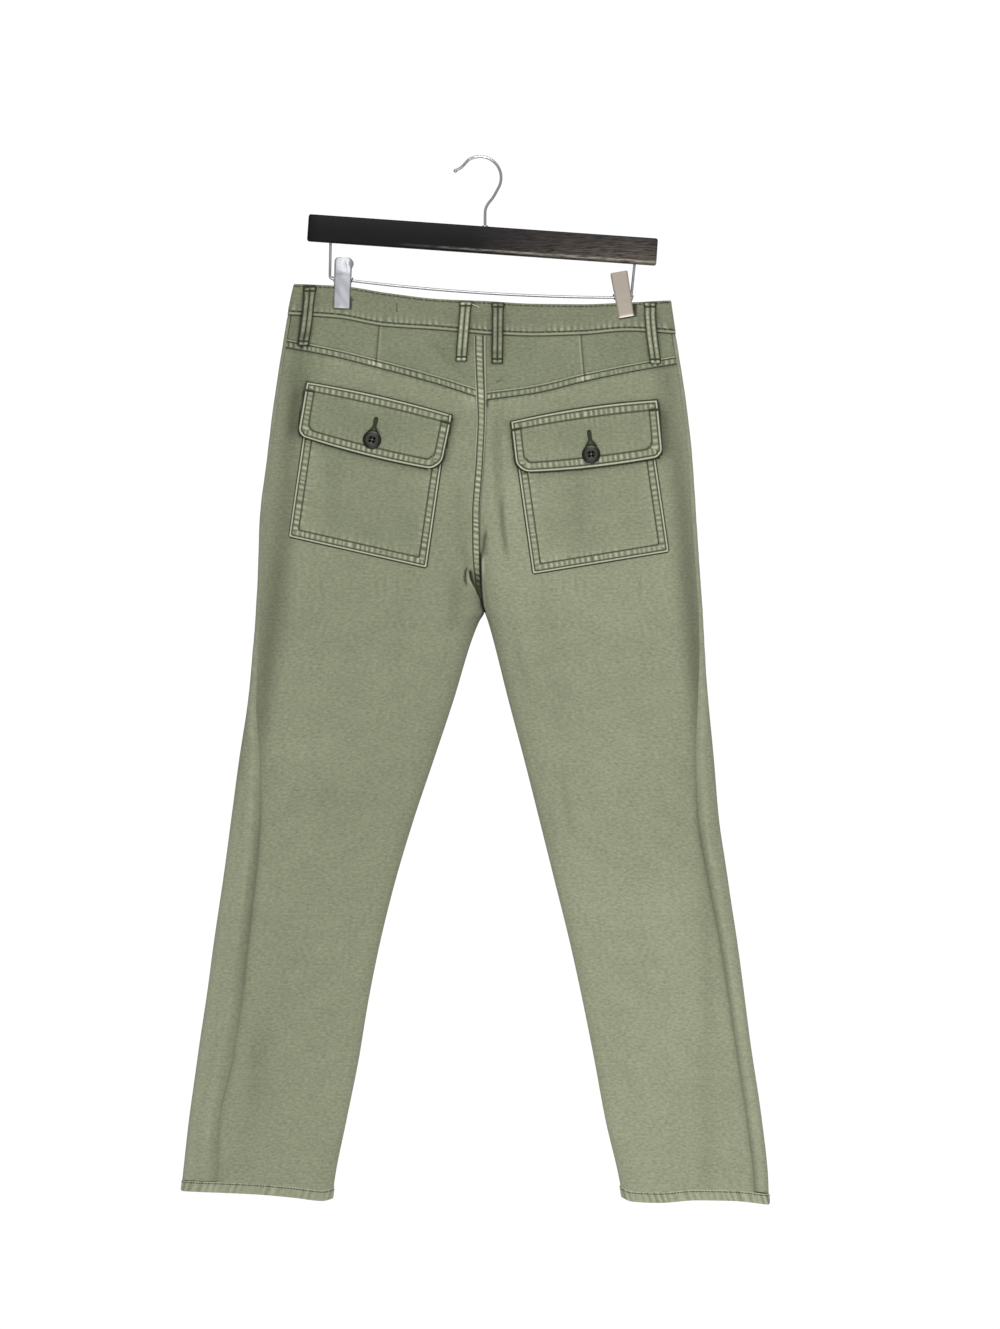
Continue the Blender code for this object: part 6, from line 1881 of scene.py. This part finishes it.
# a sheet jaw on a grid: bends along it, a slight crown across it, rounded upper corners and edges that
# turn back by the depth of its flanges
def makeJaw(name, part, way, clip, material):
    lean = math.radians(clip["lean"])
    down = np.array((-math.sin(lean), 0, -math.cos(lean)))
    sideways = np.array((math.cos(lean), 0, -math.sin(lean)))
    pivot = inPlane([(clip["x"], wireDrop(clip["x"]))])[0]
    atPivot = jaw["springOuter"] + form["seamGap"]
    atCloth = pinchedAt["halfDepth"] + form["bandRise"] + form["seamGap"]
    above, below, corner, flange = (clip[key] for key in ("above", "below", "corner", "flange"))
    bendAlong = (-above, -above * jaw["neckAt"], -jaw["springOuter"] * 1.2, jaw["springOuter"],
                 jaw["holdStart"], below - jaw["curlLength"], below)
    bendOut = (jaw["leverSpread"], jaw["neckSpread"], atPivot, atPivot, atCloth, atCloth,
               atCloth + clip["curl"])
    along = np.concatenate([[-above, -above + 0.4, -above + 1.0], np.linspace(-above + 1.8, below - 1.0, 44),
                            [below - 0.5, below]])[:, None]
    c = np.sin(np.linspace(-quarterTurn, quarterTurn, 29))[None, :]
    fromTop = along + above
    half = jaw["width"] / 2 * (1 - clip["taper"] * fromTop / (above + below))
    cut = corner - np.sqrt(np.maximum(corner ** 2 - np.clip(corner - fromTop, 0, corner) ** 2, 0))
    flangeTop = ease(1 - np.abs(fromTop - 6.0) / 6.0) * flange
    half = half - cut + jaw["flangeOut"] * flangeTop * (c > 0) * np.abs(c) ** 3
    out = through(bendAlong, bendOut, along) + jaw["crown"] * (1 - c ** 2)
    out = out - jaw["edge"] * ramp(np.abs(c), jaw["edgeFrom"], 1)
    out = out - jaw["flangeBack"] * flangeTop * ramp(c, 0.55, 0.95)
    fold = np.abs((c - 0.05) - (fromTop - 4.0) * 0.05)
    out = out - jaw["fold"] * flange * hump(fold, 0.09) * ease(1 - np.abs(fromTop - 8.0) / 6.5)
    out = out + jaw["dent"] * flange * hump(c + 0.15, 0.5) * ramp(fromTop, 14, 24)
    # the matte clip's foot edge turns cream; on the bright clip, slanted bands turn darker and bluish as
    # painted reflection
    wearAndPaintedLight = ease((along - below + 1.3) / 0.7) + 0 * c
    if flange:
        wearAndPaintedLight = bells(fromTop - jaw["bandSlant"] * c, *jaw["paintedReflectionBands"])
    across = sideways * (half * c)[..., None]
    outside = pivot + down * along[..., None] + across + (0, way, 0) * (out + jaw["metal"])[..., None]
    inside = pivot + down * along[..., None] + across + (0, way, 0) * out[..., None]
    makeWall(f"jaw_{name}_{part}", outside, inside, material, [f"clip_{name}_{part}_jaw"],
             {"wearAndPaintedLight": wearAndPaintedLight})


# six turns of thin wire round the hanger's wire: a helix that ends just past the jaws' sides
def makeSpring(name, clip):
    pivot = inPlane([(clip["x"], wireDrop(clip["x"]))])[0]
    (leftX, leftDrop), (rightX, rightDrop) = wire["left"], wire["right"]
    along = unit(np.array((rightX - leftX, 0, leftDrop - rightDrop)))
    aside = np.array((0.0, 1.0, 0.0))
    t = np.linspace(-1, 1, coil["points"])[:, None]
    turn = (t + 1) * coil["turns"] * math.pi
    path = pivot + along * t * coil["half"] + coil["radius"] * (np.cross(along, aside) * np.cos(turn)
                                                                + aside * np.sin(turn))
    makeRod(f"spring_{name}", path, coil["wire"], springSteel, [f"clip_{name}_spring"], 8, 55)


makeLooseThread()
makeBar()
makeHook()
makeWire()
for name, clip in clips.items():
    finish = clipBright if name == "left" else clipMatte
    for part, way in (("outer", -1), ("inner", 1)):
        makeJaw(name, part, way, clip, finish)
    makeSpring(name, clip)
print("hanger made")


# the stage: pale floor, soft light, and a camera straight at the back
camera = {"pixel": 1.043, "middle": (500.0, 664.5), "origin": (480.0, 158.0), "height": 1329, "distance": 8.0,
          "sensor": 36.0}
stage = {"floorLevel": -1.72, "half": 5.0, "floor": (236, 236, 234), "skyLight": 0.5, "skySeen": 0.53}
lightRows = (
    ("keyLight", (0.15, -2.4, 1.3), (0, 0, -0.6), (0.9, 0.6), 40),
    ("fillLight", (0.1, -2.6, -1.3), (0, 0, -0.7), (1.6, 1.0), 14),
)


# a camera whose frame is the photo's height at the part's distance, centred on the photo's middle
def makeCamera():
    data = bpy.data.cameras.new("camera")
    data.sensor_width = camera["sensor"]
    data.lens = camera["sensor"] * camera["distance"] / (camera["height"] * camera["pixel"] * mm)
    data.clip_end = 50
    seen = bpy.data.objects.new("camera", data)
    x = (camera["middle"][0] - camera["origin"][0]) * camera["pixel"] * mm
    z = -(camera["middle"][1] - camera["origin"][1]) * camera["pixel"] * mm
    seen.location = (x, -camera["distance"], z)
    seen.rotation_euler = (quarterTurn, 0, 0)
    bpy.context.scene.collection.objects.link(seen)
    bpy.context.scene.camera = seen


# a rectangular lamp turned so that its face looks from its place at the aim
def makeLight(name, place, aim, size, power):
    data = bpy.data.lights.new(name, "AREA")
    data.shape = "RECTANGLE"
    data.size, data.size_y = size
    data.energy = power
    lamp = bpy.data.objects.new(name, data)
    lamp.location = place
    away = np.array(place, float) - np.array(aim, float)
    flat = math.hypot(away[0], away[1])
    lamp.rotation_euler = (math.atan2(flat, away[2]), 0, math.atan2(away[0], -away[1]))
    bpy.context.scene.collection.objects.link(lamp)


# a flat square floor, and a white sky that the camera sees brighter than it shines
def makeStage():
    mesh = bpy.data.meshes.new("floor")
    half = stage["half"]
    corners = ((-half, -half), (half, -half), (half, half), (-half, half))
    mesh.from_pydata([(x, y, stage["floorLevel"]) for x, y in corners], [], [(0, 1, 2, 3)])
    mesh.materials.append(plainMaterial("paleFloor", stage["floor"], 0.7, 0.0, 0.01, 3.0))
    floor = bpy.data.objects.new("floor", mesh)
    bpy.context.scene.collection.objects.link(floor)
    world = bpy.data.worlds.new("studio")
    bpy.context.scene.world = world
    world.use_nodes = True
    tree = world.node_tree
    background = tree.nodes["Background"]
    path = addNode(tree, "ShaderNodeLightPath")
    extra = times(tree, path.outputs["Is Camera Ray"], stage["skySeen"])
    background.inputs["Color"].default_value = (1, 1, 1, 1)
    tree.links.new(mathNode(tree, "ADD", extra, stage["skyLight"]), background.inputs["Strength"])
    bpy.context.scene.view_settings.view_transform = "Standard"


makeCamera()
makeStage()
for row in lightRows:
    makeLight(*row)
print("stage made")
